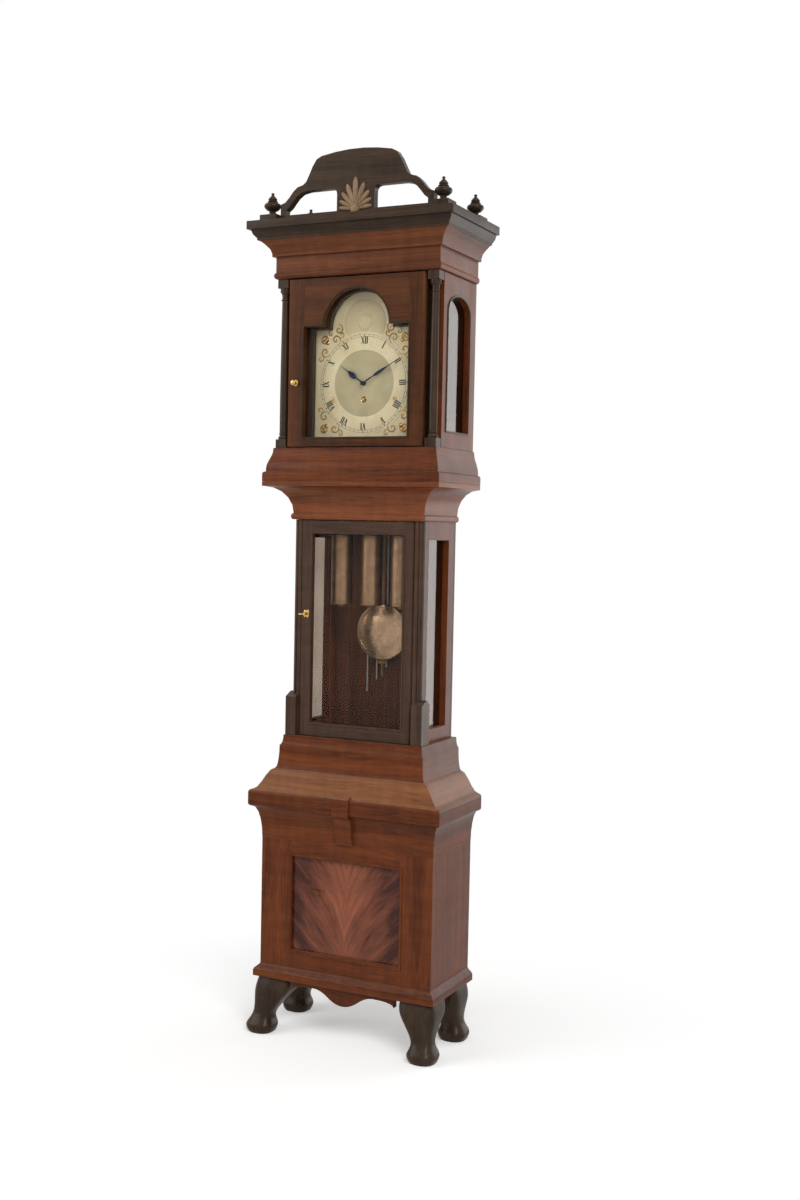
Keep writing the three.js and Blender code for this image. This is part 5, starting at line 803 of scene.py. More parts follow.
def make_case():
    moulding("base_plinth", "mahogany")
    framed("base_case", "mahogany", PANEL_HALF)
    board("base_front_panel", "figured_wood", edge=FINE_EDGE)
    ledge = moulding("base_top_moulding", "mahogany")
    # The ledge's top faces get the lighter copy, a painted highlight where light falls from above.
    refaced(ledge, LEDGE_HIGHLIGHT_WOOD, lambda place: LEDGE_BOTTOM < place.z < LEDGE_TOP)
    for side in ("left", "right"):
        post = board(f"trunk_side_{side}", "mahogany", cuts=[((0, POST_BACK, 0), DEEP)])
        refaced(post, TRUNK_DOOR_WOOD, lambda place: place.y < POST_BACK)
        board(f"hood_side_{side}", "mahogany")
    # The throat gets the lighter copy of the mahogany, as painted light in its downward-facing cove.
    moulding("throat_moulding", "mahogany", THROAT_PAINTED_LIGHT_WOOD)
    planked("backboard", "inner_wood")
    board("seatboard", "plain_wood", ACROSS)
    framed("trunk_door_frame", "dark_wood", TRUNK_OPENING_HALF, TRUNK_DOOR_WOOD)
    moulding("hood_base_moulding", "mahogany")
    board("hood_front_board", "dark_wood")
    cornice = moulding("hood_cornice", "dark_wood")
    # The frieze below the crown gets the lighter copy of the mahogany, as painted light in the cornice's
    # shade.
    refaced(cornice, FRIEZE_PAINTED_LIGHT_WOOD, lambda place: place.z < CROWN_BOTTOM)
    board("hood_roof", "plain_wood", ACROSS)
    board("hood_crest", "dark_wood", ACROSS)
    # The hood door frame gets the darker copy of the mahogany, as painted shade from the columns.
    framed("hood_door_frame", "mahogany", HOOD_OPENING_HALF, SHADED_DOOR_WOOD)


def glazing_bead(pane, frame_node, axis, side, material=DARK_WOOD, flat_side=None):
    """A rounded bead on a frame's face round its pane, drawn in from the outline of the pane's flat side."""
    flat_side = flat_side or side
    piece = cad_copy(pane)
    edit(piece)
    choose(piece, lambda f: f.normal[axis] * flat_side > 0.9)
    keep_picked()
    bpy.ops.mesh.inset(thickness=BEAD_MARGIN * MM)
    keep_picked()
    bpy.ops.mesh.inset(thickness=BEAD_WIDTH * MM)
    bpy.ops.mesh.delete(type='FACE')
    if flat_side != side:
        bpy.ops.mesh.select_all(action='SELECT')
        bpy.ops.mesh.flip_normals()
    leave()
    shift = [0, 0, 0]
    shift[axis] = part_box(frame_node)[side > 0][axis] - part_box(pane)[flat_side > 0][axis]
    placed(piece, shift)
    applied(piece, 'SOLIDIFY', thickness=BEAD_RISE * MM, offset=1)
    piece.name = f"{pane}_bead"
    lay_grain(settled(piece, BEAD_EDGE))
    return fitted(piece, body_of(frame_node), "dark_wood", material)


def make_beads():
    glazing_bead("trunk_door_glass", "trunk_door_frame", 1, -1, TRUNK_DOOR_WOOD)
    glazing_bead("hood_door_glass", "hood_door_frame", 1, -1)
    glazing_bead("base_front_panel", "base_case", 1, -1, MAHOGANY, flat_side=1)
    for side, sign in (("left", -1), ("right", 1)):
        glazing_bead(f"hood_glass_{side}", f"hood_side_{side}", 0, sign)


def make_feet():
    """Cabriole feet, with the CAD's rings smoothed to flowing curves."""
    for corner in CORNERS:
        node = f"foot_{corner}"
        piece = cad_copy(node)
        edit(piece, 'EDGE')
        for ring, crease in ((high(node).z, 1), (low(node).z, 0.7)):
            choose(piece, lambda e: all(abs(v.co.z - ring) < MM for v in e.verts), "edges")
            bpy.ops.transform.edge_crease(value=crease)
        leave()
        applied(piece, 'SUBSURF', levels=2, render_levels=2)
        lay_grain(settled(piece, sides_out=False))
        fitted(piece, body_of(node), "dark_wood", stands_for=[node])


def square_block(name, node, bottom, top):
    """A block as wide as the node, round its upright axis, between two heights in millimetres."""
    half = half_width(node)
    x, y = middle(node).x / MM, middle(node).y / MM
    return settled(block(name, (x - half, y - half, bottom), (x + half, y + half, top)), BLOCK_EDGE)


def make_columns():
    """Turned hood columns with ringed bases and caps between square blocks."""
    for side in ("left", "right"):
        node = f"hood_column_{side}"
        foot, head = low(node).z / MM, high(node).z / MM
        start, end = foot + COLUMN_BLOCK, head - COLUMN_BLOCK
        top = end - start
        profile = [(13.5, -1), (13.5, 1.5)] + bead(12, 1.5, 7, 2) + [(11.4, 8)]
        profile += quarter((11.4, 8), (9.8, 11), True, 4) + bead(9.8, 12, 16, 2.6) + [(10.6, 17.5)]
        profile += swelling([(10.6, 17.5), (10.8, 110), (10.2, 220), (9, top - 32)])
        profile += bead(9, top - 31, top - 27, 2.4) + [(9.2, top - 20)]
        profile += quarter((9.2, top - 20), (12.6, top - 11), True)
        profile += bead(12.4, top - 10, top - 5, 1.8) + [(13.6, top - 4), (13.6, top + 1)]
        shaft = settled(turned("column_shaft", upright_at(node, start), profile))
        plinth = square_block("column_foot", node, foot, start)
        abacus = square_block("column_head", node, end, head)
        column = lay_grain(joined(f"hood_column_{side}_turned", [shaft, plinth, abacus]))
        fitted(column, "hood", "dark_wood", stands_for=[node])


def make_finials():
    """Urn finials on square blocks: modelled once, then copied to each corner."""
    nodes = [f"finial_{corner}" for corner in CORNERS]
    first = nodes[0]
    foot = low(first).z / MM
    start = foot + FINIAL_BLOCK
    tip = high(first).z / MM - start
    profile = [(20, -1), (20, 1)] + quarter((20, 1), (9, 5), False) + [(7, 6)] + bead(7, 7, 10, 2)
    profile += swelling([(7, 10.5), (15, 14), (21.5, 22), (19.5, 29), (12, 33)]) + bead(11, 33.5, 36.5, 2.5)
    profile += swelling([(9.5, 37), (11.5, 41), (8, 46), (4.2, 50), (3.4, 53), (4.4, 55.5), (0.6, tip)])
    urn = settled(turned("finial_urn", upright_at(first, start), profile))
    pattern = lay_grain(joined("finial_pattern", [urn, square_block("finial_plinth", first, foot, start)]))
    for node in nodes:
        piece = placed(copied(pattern, f"{node}_turned"), middle(node) - middle(first))
        fitted(piece, "hood", "dark_wood", stands_for=[node])
    removed(pattern)


def make_fan():
    """A carved fan on the crest's middle post: one lobe is shaped, then copied round the foot of the fan."""
    front, foot, reach = low("hood_crest").y, FAN_FOOT * MM, FAN_REACH * MM
    root = (0, front, foot)
    nothing_picked()
    bpy.ops.mesh.primitive_uv_sphere_add(segments=24, ring_count=16, radius=1, location=root)
    lobe = placed(named("fan_lobe"), (0, 0, 1))
    stretched(lobe, (LOBE_HALF * MM, LOBE_RELIEF * MM, reach / 2), root)
    edit(lobe, 'VERT')
    for share, width in LOBE_WAIST:
        choose(lobe, lambda v: (lobe.matrix_world @ v.co).z < foot + reach * share, "verts")
        bpy.ops.transform.resize(value=(width, width, 1), center_override=root)
    bpy.ops.mesh.select_all(action='SELECT')
    bpy.ops.mesh.bisect(
        plane_co=(0, front + LOBE_SUNK * MM, 0), plane_no=DEEP, clear_outer=True, use_fill=True)
    leave()
    settled(lobe)
    lobes = []
    for i in range(FAN_LOBES):
        angle = (i / (FAN_LOBES - 1) - 0.5) * FAN_SPREAD
        shorter = 1 - FAN_FLATNESS * abs(math.sin(angle))
        piece = stretched(copied(lobe, "fan_lobe_copy"), (shorter ** 0.5, 1, shorter), root)
        lobes.append(placed(piece, turn=angle, about=root))
    removed(lobe)
    profile = [(0.6, 0.2), (12, 0.2), (12, -3)] + quarter((12, -3), (0.6, -9), True)
    heel = turned("fan_heel", root, profile, level=True, sides=RING_SIDES)
    fan = lay_grain(joined("crest_fan", lobes + [settled(heel)]))
    fitted(fan, "hood", "dark_wood", CARVED_WOOD)


def make_cornice_bead():
    """A half-round bead along the cornice where the dark crown meets the brown wood."""
    half, front = CROWN_HALF * MM, CROWN_FRONT * MM
    back = high("hood_cornice").y - CORNICE_BEAD * MM
    left = [(-half, back), (-half, 0), (-half, front)]
    points = left + [(0, front)] + [(-x, y) for x, y in reversed(left)]
    line = wire("cornice_bead", [(x, y, CROWN_BOTTOM * MM) for x, y in points], CORNICE_BEAD * MM)
    fitted(lay_grain(settled(line), ACROSS), "hood", "dark_wood")


def make_panes():
    for node, item in frame["nodes"].items():
        if "glass" in node:
            dressed(item, DOOR_GLASS if "door" in node else SIDE_GLASS)


# Dial and hands

DIAL_Z = 1680
DIAL_HALF = 140
ARCH_Z = 1820
BOSS_Z = 1834
WINDING_Z = 1640
WINDING_APART = 86
WINDING_HOLE = 7
LAP = 0.2
CHAPTER_INNER = 84
CHAPTER_OUTER = 130
CHAPTER_THICKNESS = 1.2
TRACK_RADIUS = 121
TICK_LENGTH = 5.2
LINE_HALF = 0.3
NUMERAL_HEIGHT = 22
NUMERAL_SCALE = 0.8
NUMERAL_RADIUS = 108.5
THICK_STROKE = 4.2
THIN_STROKE = 1.9
SERIF_HEIGHT = 0.8
PAINT = 0.25
THIN_PAINT = 0.9 * PAINT
SERIF_PAINT = 0.8 * PAINT
NUMERALS = ["XII", "I", "II", "III", "IIII", "V", "VI", "VII", "VIII", "IX", "X", "XI"]
SCROLL_STEPS = 40
SPANDREL_CORNER = DIAL_HALF - 12
SPANDREL_SCROLLS = ((200, 1.4, 13, 16, 46, 1.5), (140, 1.1, 8, 3, 62, 1.2), (225, 1.2, 10, 14, 14, 1.7))


def dial_front():
    return low("dial").y / MM


def on_dial(x, z):
    return metres((x, dial_front(), z))


def stroke(foot, head, width, paint=PAINT):
    """One stroke of a letter, from its place at the foot to its place at the head."""
    lean = math.atan2(head - foot, NUMERAL_HEIGHT)
    length = math.hypot(head - foot, NUMERAL_HEIGHT) - abs(math.sin(lean)) * width / 2
    return bar("stroke", ((foot + head) / 2, 0, 0), (width * math.cos(lean), paint, length), lean)


def serif(x, end, width):
    centre = (x, 0, end * (NUMERAL_HEIGHT - SERIF_HEIGHT) / 2)
    return bar("serif", centre, (width, SERIF_PAINT, SERIF_HEIGHT))


def letters():
    """The three letters that Roman numerals need, each with the width it takes up."""
    one = [stroke(0, 0, THICK_STROKE), serif(0, 1, 5.4), serif(0, -1, 5.4)]
    five = [stroke(0, -4.6, THICK_STROKE), stroke(0, 4.6, THIN_STROKE, THIN_PAINT),
            serif(-4.6, 1, 5), serif(4.6, 1, 3.6)]
    ten = [stroke(4.4, -4.4, THICK_STROKE), stroke(-4.4, 4.4, THIN_STROKE, THIN_PAINT),
           serif(-4.4, 1, 4.8), serif(4.4, 1, 3.6), serif(4.4, -1, 4.8), serif(-4.4, -1, 3.6)]
    made = {}
    for name, parts, width in (("I", one, 6), ("V", five, 13), ("X", ten, 12.6)):
        piece = laid_down(joined(f"letter_{name}", parts))
        made[name] = (stretched(piece, (NUMERAL_SCALE, 1, NUMERAL_SCALE)), width * NUMERAL_SCALE)
    return made


def around_dial(pattern, sideways, radius, angle, front):
    """A copy set round the dial's centre, at an angle clockwise from the top."""
    piece = placed(copied(pattern, "dial_mark"), metres((sideways, front, DIAL_Z + radius)))
    centre = Matrix.Translation((0, 0, DIAL_Z * MM))
    piece.data.transform(centre @ Matrix.Rotation(angle, 4, 'Y') @ centre.inverted())
    return piece


def make_numerals():
    front = dial_front() - CHAPTER_THICKNESS - PAINT / 2
    alphabet = letters()
    parts = []
    for hour, numeral in enumerate(NUMERALS):
        reach = -sum(alphabet[letter][1] for letter in numeral) / 2
        for letter in numeral:
            pattern, width = alphabet[letter]
            parts.append(around_dial(pattern, reach + width / 2, NUMERAL_RADIUS, hour * math.pi / 6, front))
            reach += width
    removed(*(pattern for pattern, _ in alphabet.values()))
    fitted(settled(joined("hour_numerals", parts)), "case", "painted_dial", BLACK_PAINT)


def make_minute_track():
    front = dial_front() - CHAPTER_THICKNESS
    tick, bold = [laid_down(bar("tick", (0, 0, 0), (width, PAINT, TICK_LENGTH))) for width in (0.7, 1.8)]
    parts = []
    for minute in range(60):
        mark = tick if minute % 5 else bold
        parts.append(around_dial(mark, 0, TRACK_RADIUS, minute * math.pi / 30, front - PAINT / 2))
    for radius in (TRACK_RADIUS - 3, TRACK_RADIUS + 3):
        profile = band(radius - LINE_HALF, radius + LINE_HALF, 0.1, -PAINT)
        parts.append(turned("track_line", metres((0, front, DIAL_Z)), profile, level=True, sides=120))
    removed(tick, bold)
    fitted(settled(joined("minute_track", parts)), "case", "painted_dial", BLACK_PAINT)


def dial_ring(name, inner, outer, thickness, edge):
    """A flat ring round the dial's centre, with its back let into the plate."""
    profile = band(inner, outer, LAP, -thickness)
    return settled(turned(name, on_dial(0, DIAL_Z), profile, level=True, sides=LARGE_SIDES), edge)


def drilled(piece):
    """Opens the middle winding hole through the matted centre."""
    nothing_picked()
    bpy.ops.mesh.primitive_cylinder_add(
        vertices=RING_SIDES, radius=WINDING_HOLE * MM, depth=10 * MM, location=on_dial(0, WINDING_Z),
        rotation=(math.pi / 2, 0, 0))
    drill = named("drill")
    applied(piece, 'BOOLEAN', object=drill, operation='DIFFERENCE', solver='EXACT')
    removed(drill)
    return piece


def scroll(centre, start, turns, size, radius, mirror=1):
    """A scroll that tightens to its eye, as a tapering wire laid on the dial, from an angle in degrees."""
    points, shares = [], []
    for i in range(SCROLL_STEPS + 1):
        share = i / SCROLL_STEPS
        angle = math.radians(start) + mirror * turns * 2 * math.pi * share
        reach = size * (1 - share) ** 1.25 + radius
        points.append(metres((centre[0] + reach * math.cos(angle), dial_front() - radius * 0.4,
                              centre[1] + reach * math.sin(angle))))
        shares.append(0.45 + 0.75 * math.sin(math.pi * min(1, share * 1.15)))
    shares[-1] += 0.6
    return wire("scroll", points, radius * MM, shares, 2)


def make_spandrels():
    """Pierced scrollwork in the four corners of the dial, alike in each corner."""
    parts = []
    for start, turns, size, aside, below, radius in SPANDREL_SCROLLS:
        x, z = SPANDREL_CORNER - aside, SPANDREL_CORNER - below
        parts.append(scroll((x, z), start, turns, size, radius))
        parts.append(scroll((z, x), 90 - start, turns, size, radius, -1))
    leaf = turned("leaf", on_dial(SPANDREL_CORNER - 22, SPANDREL_CORNER - 22),
                  [(0.5, 0.2), (6, 0), (5, -1.2), (2.4, -2.2), (0.5, -2.6)], level=True, sides=SMALL_SIDES)
    pattern = laid_down(joined("spandrel", parts + [leaf]))
    made = []
    for side in (-1, 1):
        for end in (-1, 1):
            piece = stretched(copied(pattern, "spandrel_corner"), (side, 1, end))
            made.append(placed(piece, (0, 0, DIAL_Z * MM)))
    removed(pattern)
    fitted(settled(joined("spandrels", made)), "case", "cast_brass")


def make_arch():
    """A bare boss in the arch of the dial, between scrolls."""
    profile = [(1, LAP), (58, LAP), (58, -1)] + bead(54, -1, -1.2, 2)[1:-1]
    profile += [(50, -1.2), (49, -0.4), (20, -0.4)] + quarter((20, -0.6), (1, -3.6), True)
    boss = turned("arch_boss", on_dial(0, BOSS_Z), profile, level=True, sides=LARGE_SIDES)
    fitted(settled(boss), "case", "painted_dial", ARCH_PAINT)
    scrolls = []
    for side in (-1, 1):
        scrolls.append(scroll((side * 74, ARCH_Z - 2), 90, 1.3, 12, 1.5, side))
        scrolls.append(scroll((side * 96, ARCH_Z - 12), 90 + side * 30, 1.1, 8, 1.2, -side))
    fitted(settled(joined("arch_scrolls", scrolls)), "case", "cast_brass")


def make_dial():
    """The cream plate with its chapter ring, matted centre, numerals, scrolls, arch and winding collars."""
    fitted(eased("dial", FINE_EDGE), "case", "painted_dial", stands_for=["dial"])
    ring = dial_ring("chapter_ring", CHAPTER_INNER, CHAPTER_OUTER, CHAPTER_THICKNESS, 0.3)
    fitted(ring, "case", "painted_dial")
    centre = dial_ring("dial_centre", 8, CHAPTER_INNER - 0.4, 0.35, 0.1)
    fitted(drilled(centre), "case", "painted_dial", CENTRE_GREY)
    make_numerals()
    make_minute_track()
    make_spandrels()
    make_arch()
    profile = [(6.6, LAP), (8, LAP), (8, -1), (7.4, -1.6), (6.6, -1), (6.6, LAP)]
    collars = [turned("winding_collar", on_dial(x, WINDING_Z), profile, level=True, sides=RING_SIDES)
               for x in (-WINDING_APART, 0, WINDING_APART)]
    fitted(settled(joined("winding_collars", collars)), "case", "polished_brass")


# Movement

WORKS_BEHIND = 6
DRUM_CORE = 20.2
WOUND_REACH = 14.4
WOUND_TURNS = 15
WOUND_PITCH = 1.9


def metalwork(node, slot, edge=0.2):
    return fitted(eased(node, edge), body_of(node), slot, stands_for=[node])


def make_winding(train):
    """Turns of cable on a drum, to both sides of where the cable leaves it."""
    drum = f"drum_{train}"
    first = middle(f"weight_cable_{train}").y / MM - WOUND_REACH
    profile = [(DRUM_CORE, 0)]
    for i in range(WOUND_TURNS):
        profile += bead(DRUM_CORE + 0.1, i * WOUND_PITCH, (i + 1) * WOUND_PITCH, 1.7, 4)[1:]
    profile += [(DRUM_CORE, WOUND_TURNS * WOUND_PITCH + 0.1), (DRUM_CORE, 0)]
    winding = turned(f"cable_winding_{train}", level_at(drum, first), profile, level=True, sides=RING_SIDES)
    fitted(settled(winding), body_of(drum), "steel")


def make_works():
    """The hands, blued in front with brass behind the dial, and the wheels, plates, anchor and drums."""
    works_start = dial_front() + WORKS_BEHIND
    for node in ("minute_hand", "hour_hand"):
        refaced(metalwork(node, "blued_steel", 0.15), CAST_BRASS, lambda place: place.y > works_start)
    for node in ("third_wheel", "escape_wheel", "movement_front_plate", "movement_back_plate"):
        metalwork(node, "cast_brass")
    metalwork("anchor", "steel")
    for train in TRAINS:
        metalwork(f"drum_{train}", "cast_brass")
        make_winding(train)


# Pendulum, weights and chimes

BOB_HUB = 11
BOB_RIM = 12
DOME_STEPS = 12
SHELL_FOOT = 5
SHELL_TOP = 1305
NECK_TOP = 1322
STIRRUP_HALF = 8
STIRRUP_OUTER = 9.5
STIRRUP_BOTTOM = 1321
STIRRUP_BAR = 6
STIRRUP_LEG = 1326
CHEEK = 2.5
PULLEY_GROOVE = 20
PULLEY_RIM = 25
CABLE_PITCH = 21.2
CABLE_RADIUS = 0.9
CABLE_STEPS = 12
FERRULE_TOP = 1598
CHIME_COUNT = 5
CHIME_APART = 28
CHIME_LONGEST = 480
CHIME_STEP = 34
CHIME_Y = 125.7
CHIME_BLOCK_BOTTOM = 1360


def make_pendulum():
    """The domed bob on its rod, and the milled rating nut below it."""
    node = "pendulum_bob"
    radius, half = half_width(node), (high(node).y - low(node).y) / 2 / MM
    face = [(1, half), (9, half)] + quarter((9, half), (BOB_HUB, half - 1), False, 4)
    for i in range(DOME_STEPS + 1):
        share = i / DOME_STEPS
        reach = BOB_HUB + (radius - BOB_RIM - BOB_HUB) * share
        face.append((reach, half - 1.2 - (half - 8) * share ** 2.2))
    face += [(radius - 10, 6.2), (radius - 9, 7.2), (radius - 4, 6.2), (radius - 1, 4.4), (radius, 3)]
    profile = [(reach, -depth) for reach, depth in face] + face[::-1]
    bob = settled(turned("pendulum_bob_turned", middle(node), profile, level=True, sides=LARGE_SIDES))
    fitted(bob, "pendulum", "polished_brass", BOB_BRASS, [node])
    board("pendulum_rod", "plain_wood", edge=0.4)
    node = "rating_nut"
    top = (high(node).z - low(node).z) / MM
    profile = [(3.3, 0), (8, 0), (8.8, 0.6)]
    profile += [(10.6 + (0.4 if i % 2 else 0), 1.4 + i * 0.65) for i in range(9)]
    profile += [(8.8, top - 0.6), (8, top), (3.3, top), (3.3, 0)]
    nut = turned("rating_nut_turned", upright_at(node, low(node).z / MM), profile, sides=SMALL_SIDES)
    fitted(settled(nut), "rating_nut", "cast_brass", stands_for=[node])


def make_shell(y):
    """A brass shell with ringed ends and a neck."""
    bottom = low("weight_centre").z / MM
    foot, top = bottom + SHELL_FOOT, SHELL_TOP
    profile = [(3, bottom), (6.5, bottom)] + bead(6.5, bottom, foot, 1.5)[1:]
    profile += [(25, foot)] + quarter((25, foot), (29, foot + 4), False) + [(29, foot + 8)]
    profile += bead(28.2, foot + 9, foot + 12, 0.8, 4) + [(28.4, foot + 13), (28.4, top - 17)]
    profile += bead(28.2, top - 16, top - 13, 0.8, 4) + [(29, top - 12), (29, top - 9)]
    profile += quarter((29, top - 9), (12, top - 1), True) + [(9, top)]
    profile += quarter((9, top), (3.4, top + 5), False) + [(3, NECK_TOP)]
    return settled(turned("weight_shell", (0, y * MM, 0), profile))


def make_stirrup(y, pulley_z):
    """A bar across the neck, with two cheeks that hold the pulley between their eyes."""
    front, back = y - STIRRUP_OUTER, y + STIRRUP_OUTER
    bridge = block("stirrup_bar", (-STIRRUP_HALF, front, STIRRUP_BOTTOM),
                   (STIRRUP_HALF, back, STIRRUP_BOTTOM + STIRRUP_BAR))
    parts = [settled(bridge, 0.4)]
    for start in (front, back - CHEEK):
        eye = turned("stirrup_eye", metres((0, start, pulley_z)), band(3, STIRRUP_HALF, CHEEK, 0),
                     level=True, sides=RING_SIDES)
        leg = block("stirrup_leg", (-STIRRUP_HALF, start, STIRRUP_LEG),
                    (STIRRUP_HALF, start + CHEEK, pulley_z - 6))
        parts += [settled(eye, 0.25), settled(leg, 0.25)]
    return joined("stirrup", parts)


def make_pulley(y, pulley_z):
    groove, rim = PULLEY_GROOVE, PULLEY_RIM
    wheel = [(2.5, -9.5), (2.5, -6), (5.5, -6), (5.5, -4), (21.5, -4), (rim, -3.6), (rim, -3)]
    wheel += quarter((rim, -3), (groove, 0), False, 5) + quarter((groove, 0), (rim, 3), True, 5)
    wheel += [(rim, 3.6), (21.5, 4), (5.5, 4), (5.5, 6), (2.5, 6), (2.5, 9.5)]
    return settled(turned("pulley_wheel", metres((0, y, pulley_z)), wheel, level=True), 0.15)


def make_weights():
    """Brass-cased weights on stirrups, pulleys and steel cables: modelled once, copied to each train."""
    y = middle("weight_centre").y / MM
    pulley_z = middle("weight_pulley_centre").z / MM
    shell, stirrup, pulley = make_shell(y), make_stirrup(y, pulley_z), make_pulley(y, pulley_z)
    for train in TRAINS:
        weight = f"weight_{train}"
        x = middle(weight).x
        brass = placed(copied(shell, f"weight_shell_{train}"), (x, 0, 0))
        iron = placed(copied(stirrup, f"weight_stirrup_{train}"), (x, 0, 0))
        grooved = placed(copied(pulley, f"pulley_wheel_{train}"), (x, 0, 0))
        fitted(brass, weight, "polished_brass", WEIGHT_BRASS, [weight])
        fitted(iron, weight, "steel")
        fitted(grooved, f"pulley_{train}", "cast_brass", stands_for=[f"weight_pulley_{train}"])
        make_cable(train, x, y, pulley_z)
    removed(shell, stirrup, pulley)


def make_cable(train, x, y, pulley_z):
    """From the drum down, round under the pulley, and up to its ferrule on the seatboard."""
    node = f"weight_cable_{train}"
    lane, drum_z = x / MM, high(node).z / MM
    down, up = lane - CABLE_PITCH, lane + CABLE_PITCH
    points = []
    for i in range(CABLE_STEPS):
        points.append((down, y, drum_z - (drum_z - pulley_z) * i / CABLE_STEPS))
    for i in range(2 * CABLE_STEPS + 1):
        angle = math.pi * i / (2 * CABLE_STEPS)
        points.append((lane - CABLE_PITCH * math.cos(angle), y, pulley_z - CABLE_PITCH * math.sin(angle)))
    for i in range(1, CABLE_STEPS + 1):
        points.append((up, y, pulley_z + (FERRULE_TOP - 2 - pulley_z) * i / CABLE_STEPS))
    cable = settled(wire(f"cable_{train}", [metres(point) for point in points], CABLE_RADIUS * MM))
    profile = [(1, -7.6), (3, -7.6), (3, -6)] + bead(2.4, -5.6, -3, 0.6, 4) + [(1.6, 0), (0.6, 0)]
    ferrule = turned("ferrule", metres((up, y, FERRULE_TOP)), profile, sides=SMALL_SIDES)
    whole = dressed(joined(f"cable_{train}", [cable, settled(ferrule)]), STEEL)
    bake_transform(whole)
    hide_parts(node)


def make_chimes():
    """Chime rods screwed into an iron block on the backboard."""
    node = "chime_rods"
    bottom = CHIME_BLOCK_BOTTOM
    corner, opposite = low(node) / MM, high(node) / MM
    parts = [settled(block("chime_block", (corner.x, corner.y, bottom), opposite), 1.5)]
    for i in range(CHIME_COUNT):
        x = (i - (CHIME_COUNT - 1) / 2) * CHIME_APART
        end = i * CHIME_STEP - CHIME_LONGEST
        profile = [(1, end), (2.2, end + 0.6), (2.2, -22)]
        profile += quarter((2.2, -22), (1.3, -16), True, 4) + [(1.3, -9), (4.4, -8), (4.4, -1), (3.2, 0.5)]
        parts.append(settled(turned("chime_rod", metres((x, CHIME_Y, bottom)), profile, sides=16)))
    fitted(joined("chime_rods_turned", parts), "case", "steel", stands_for=[node])


# Door furniture

BOW_RADIUS = 9
BOW_WIRE = 1.5
BOW_HALF = 7.5
BOW_SHARES = (1.045, 0.714, 1)
PLATE_FLANK = 4
PLATE_RISE = 1.45


def make_knob():
    node = "hood_door_knob"
    back = high(node).y / MM
    tip = low(node).y / MM - back
    profile = [(1, 0), (7.3, 0), (7.5, -0.8)] + quarter((7.5, -0.8), (4, -2.6), False, 4)
    profile += swelling([(3.4, -4), (3, -7), (3.6, -9)], 4)
    profile += swelling([(4.4, -9.4), (7.2, -12.4), (6.6, -16), (3, tip + 0.4), (0.5, tip)], 5)
    knob = turned("hood_knob_turned", level_at(node, back), profile, level=True, sides=RING_SIDES)
    fitted(settled(knob), "hood_door", "polished_brass", stands_for=[node])


def make_key():
    """A key with an oval bow and a ringed stem."""
    node = "trunk_door_key"
    bow_at = level_at(node, low(node).y / MM + BOW_HALF)
    nothing_picked()
    bpy.ops.mesh.primitive_torus_add(
        major_segments=40, minor_segments=12, major_radius=BOW_RADIUS * MM, minor_radius=BOW_WIRE * MM,
        location=bow_at)
    bow = settled(stretched(named("key_bow"), BOW_SHARES, bow_at))
    neck = bow_at[1] / MM + 6
    end = high(node).y / MM - neck
    profile = [(1.6, 0), (2.2, 1)] + bead(2.2, 2, 4, 0.9, 6) + [(2.2, 5), (2.2, end - 0.5), (1.6, end)]
    stem = settled(turned("key_stem", level_at(node, neck), profile, level=True, sides=SMALL_SIDES))
    fitted(joined("trunk_key_turned", [bow, stem]), "trunk_key", "polished_brass", stands_for=[node])


def make_escutcheon():
    """A keyhole plate round the key, of which the flanks beside the keyhole are drawn out in height."""
    front = low("trunk_door_frame").y / MM
    centre = level_at("trunk_door_key", front)
    profile = [(3.2, 0.1), (8.5, 0.1), (8.5, -0.5)] + quarter((8.5, -0.5), (6.5, -1.4), True, 4)
    profile += [(3.6, -1.4), (3.2, -1), (3.2, 0.1)]
    plate = turned("key_escutcheon", centre, profile, level=True, sides=RING_SIDES)
    edit(plate, 'VERT')
    choose(plate, lambda v: math.hypot(v.co.x, v.co.z) > PLATE_FLANK * MM, "verts")
    bpy.ops.transform.resize(value=(1, 1, PLATE_RISE), center_override=centre)
    leave()
    fitted(settled(plate), "trunk_door", "polished_brass")


# Floor, light and camera

FLOOR_SIZE = 60
FLOOR_COLOUR = (0.93, 0.93, 0.92, 1)
FLOOR_LIFT = 0.3
WHITE_FROM = 0.3
WHITE_BY = 1.0
ROOM_LIGHT = 0.36
LAMPS = (("window_light", (2.8, -3.0, 3.8), 2.4, 120), ("side_fill", (-3.2, -2.6, 2.8), 2.6, 70),
         ("edge_light", (1.9, 3.4, 1.45), 2.8, 44))
LAMP_AIM = Vector((0, 0, 1.1))
CAMERA_AZIMUTH = math.radians(27.24)
CAMERA_DISTANCE = 3.645
CAMERA_HEIGHT = 1.311
CAMERA_PITCH = math.radians(2.8)
CAMERA_YAW = math.radians(1.37)
CAMERA_ROLL = math.radians(1.18)
CAMERA_LENS = 42.64


def seen(wiring):
    """1 for rays that show a thing to the camera, straight, through glass or mirrored, and 0 for others."""
    rays = wiring.rays()
    straight = wiring.sum('MAXIMUM', rays["Is Camera Ray"], rays["Is Transmission Ray"])
    return wiring.sum('MAXIMUM', straight, rays["Is Glossy Ray"])


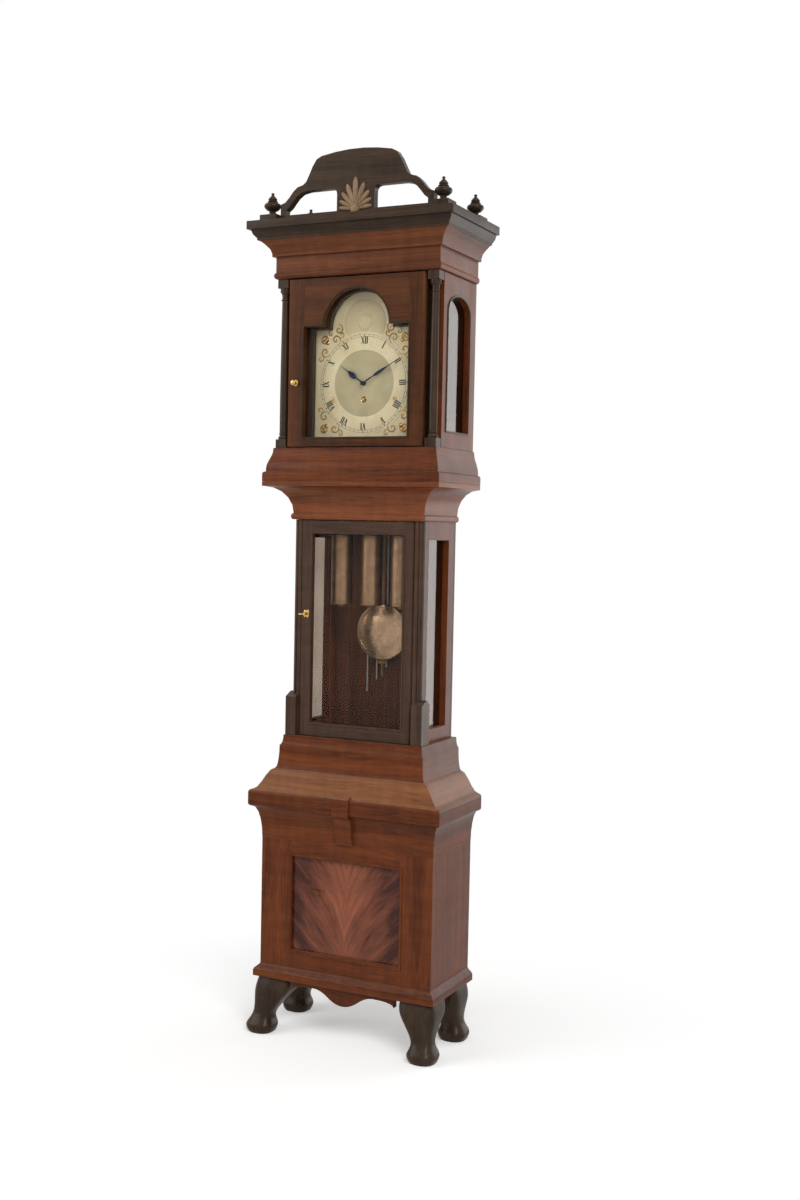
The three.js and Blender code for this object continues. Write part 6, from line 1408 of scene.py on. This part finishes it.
def make_floor():
    """A pale floor that takes shadows near the clock and turns white farther off."""
    nothing_picked()
    bpy.ops.mesh.primitive_plane_add(size=FLOOR_SIZE, location=(0, 0, 0))
    floor = named("studio_floor")
    material = bpy.data.materials.new("pale_floor")
    material.use_nodes = True
    nodes = material.node_tree.nodes
    nodes.remove(nodes["Principled BSDF"])
    wiring = Wiring(material.node_tree)
    in_view = seen(wiring)
    far = wiring.spread(wiring.vector('LENGTH', wiring.place()), WHITE_FROM, WHITE_BY)
    matt = wiring.add('ShaderNodeBsdfDiffuse', {"Color": FLOOR_COLOUR}).outputs[0]
    glow = wiring.sum('MULTIPLY', in_view, FLOOR_LIFT)
    lift = wiring.add('ShaderNodeEmission', {"Strength": glow}).outputs[0]
    near = wiring.add('ShaderNodeAddShader', {0: matt, 1: lift}).outputs[0]
    white = wiring.add('ShaderNodeEmission', {"Strength": 1.0}).outputs[0]
    share = wiring.sum('MULTIPLY', far, in_view)
    mixed = wiring.add('ShaderNodeMixShader', {0: share, 1: near, 2: white}).outputs[0]
    wiring.feed(nodes["Material Output"].inputs, {"Surface": mixed})
    floor.data.materials.append(material)


def make_room():
    """A white room that lights the clock less than it shows."""
    world = bpy.data.worlds.new("white_room")
    world.use_nodes = True
    bpy.context.scene.world = world
    wiring = Wiring(world.node_tree)
    strength = wiring.spread(seen(wiring), 0, 1, ROOM_LIGHT, 1.0)
    wiring.feed(world.node_tree.nodes["Background"].inputs, {"Strength": strength, "Color": (1, 1, 1, 1)})


def make_lamps():
    for name, place, size, power in LAMPS:
        nothing_picked()
        bpy.ops.object.light_add(type='AREA', location=place)
        lamp = named(name)
        lamp.data.size = size
        lamp.data.energy = power
        lamp.visible_camera = False
        lamp.rotation_euler = (LAMP_AIM - Vector(place)).to_track_quat('-Z', 'Y').to_euler()


def make_camera():
    """Stands where the photograph was taken from, and leans with it by about a degree."""
    x, y = math.sin(CAMERA_AZIMUTH) * CAMERA_DISTANCE, -math.cos(CAMERA_AZIMUTH) * CAMERA_DISTANCE
    nothing_picked()
    bpy.ops.object.camera_add(location=(x, y, CAMERA_HEIGHT))
    camera = named("photo_camera")
    facing = Matrix.Rotation(CAMERA_AZIMUTH - CAMERA_YAW, 3, 'Z')
    facing = facing @ Matrix.Rotation(math.pi / 2 - CAMERA_PITCH, 3, 'X')
    camera.rotation_euler = (facing @ Matrix.Rotation(CAMERA_ROLL, 3, 'Z')).to_euler()
    camera.data.lens = CAMERA_LENS
    bpy.context.scene.camera = camera


make_beads()
make_case()
make_feet()
make_columns()
make_finials()
make_fan()
make_cornice_bead()
make_panes()
make_dial()
make_works()
make_pendulum()
make_weights()
make_chimes()
make_knob()
make_key()
make_escutcheon()
make_floor()
make_room()
make_lamps()
make_camera()
bpy.context.scene.view_settings.view_transform = 'Standard'
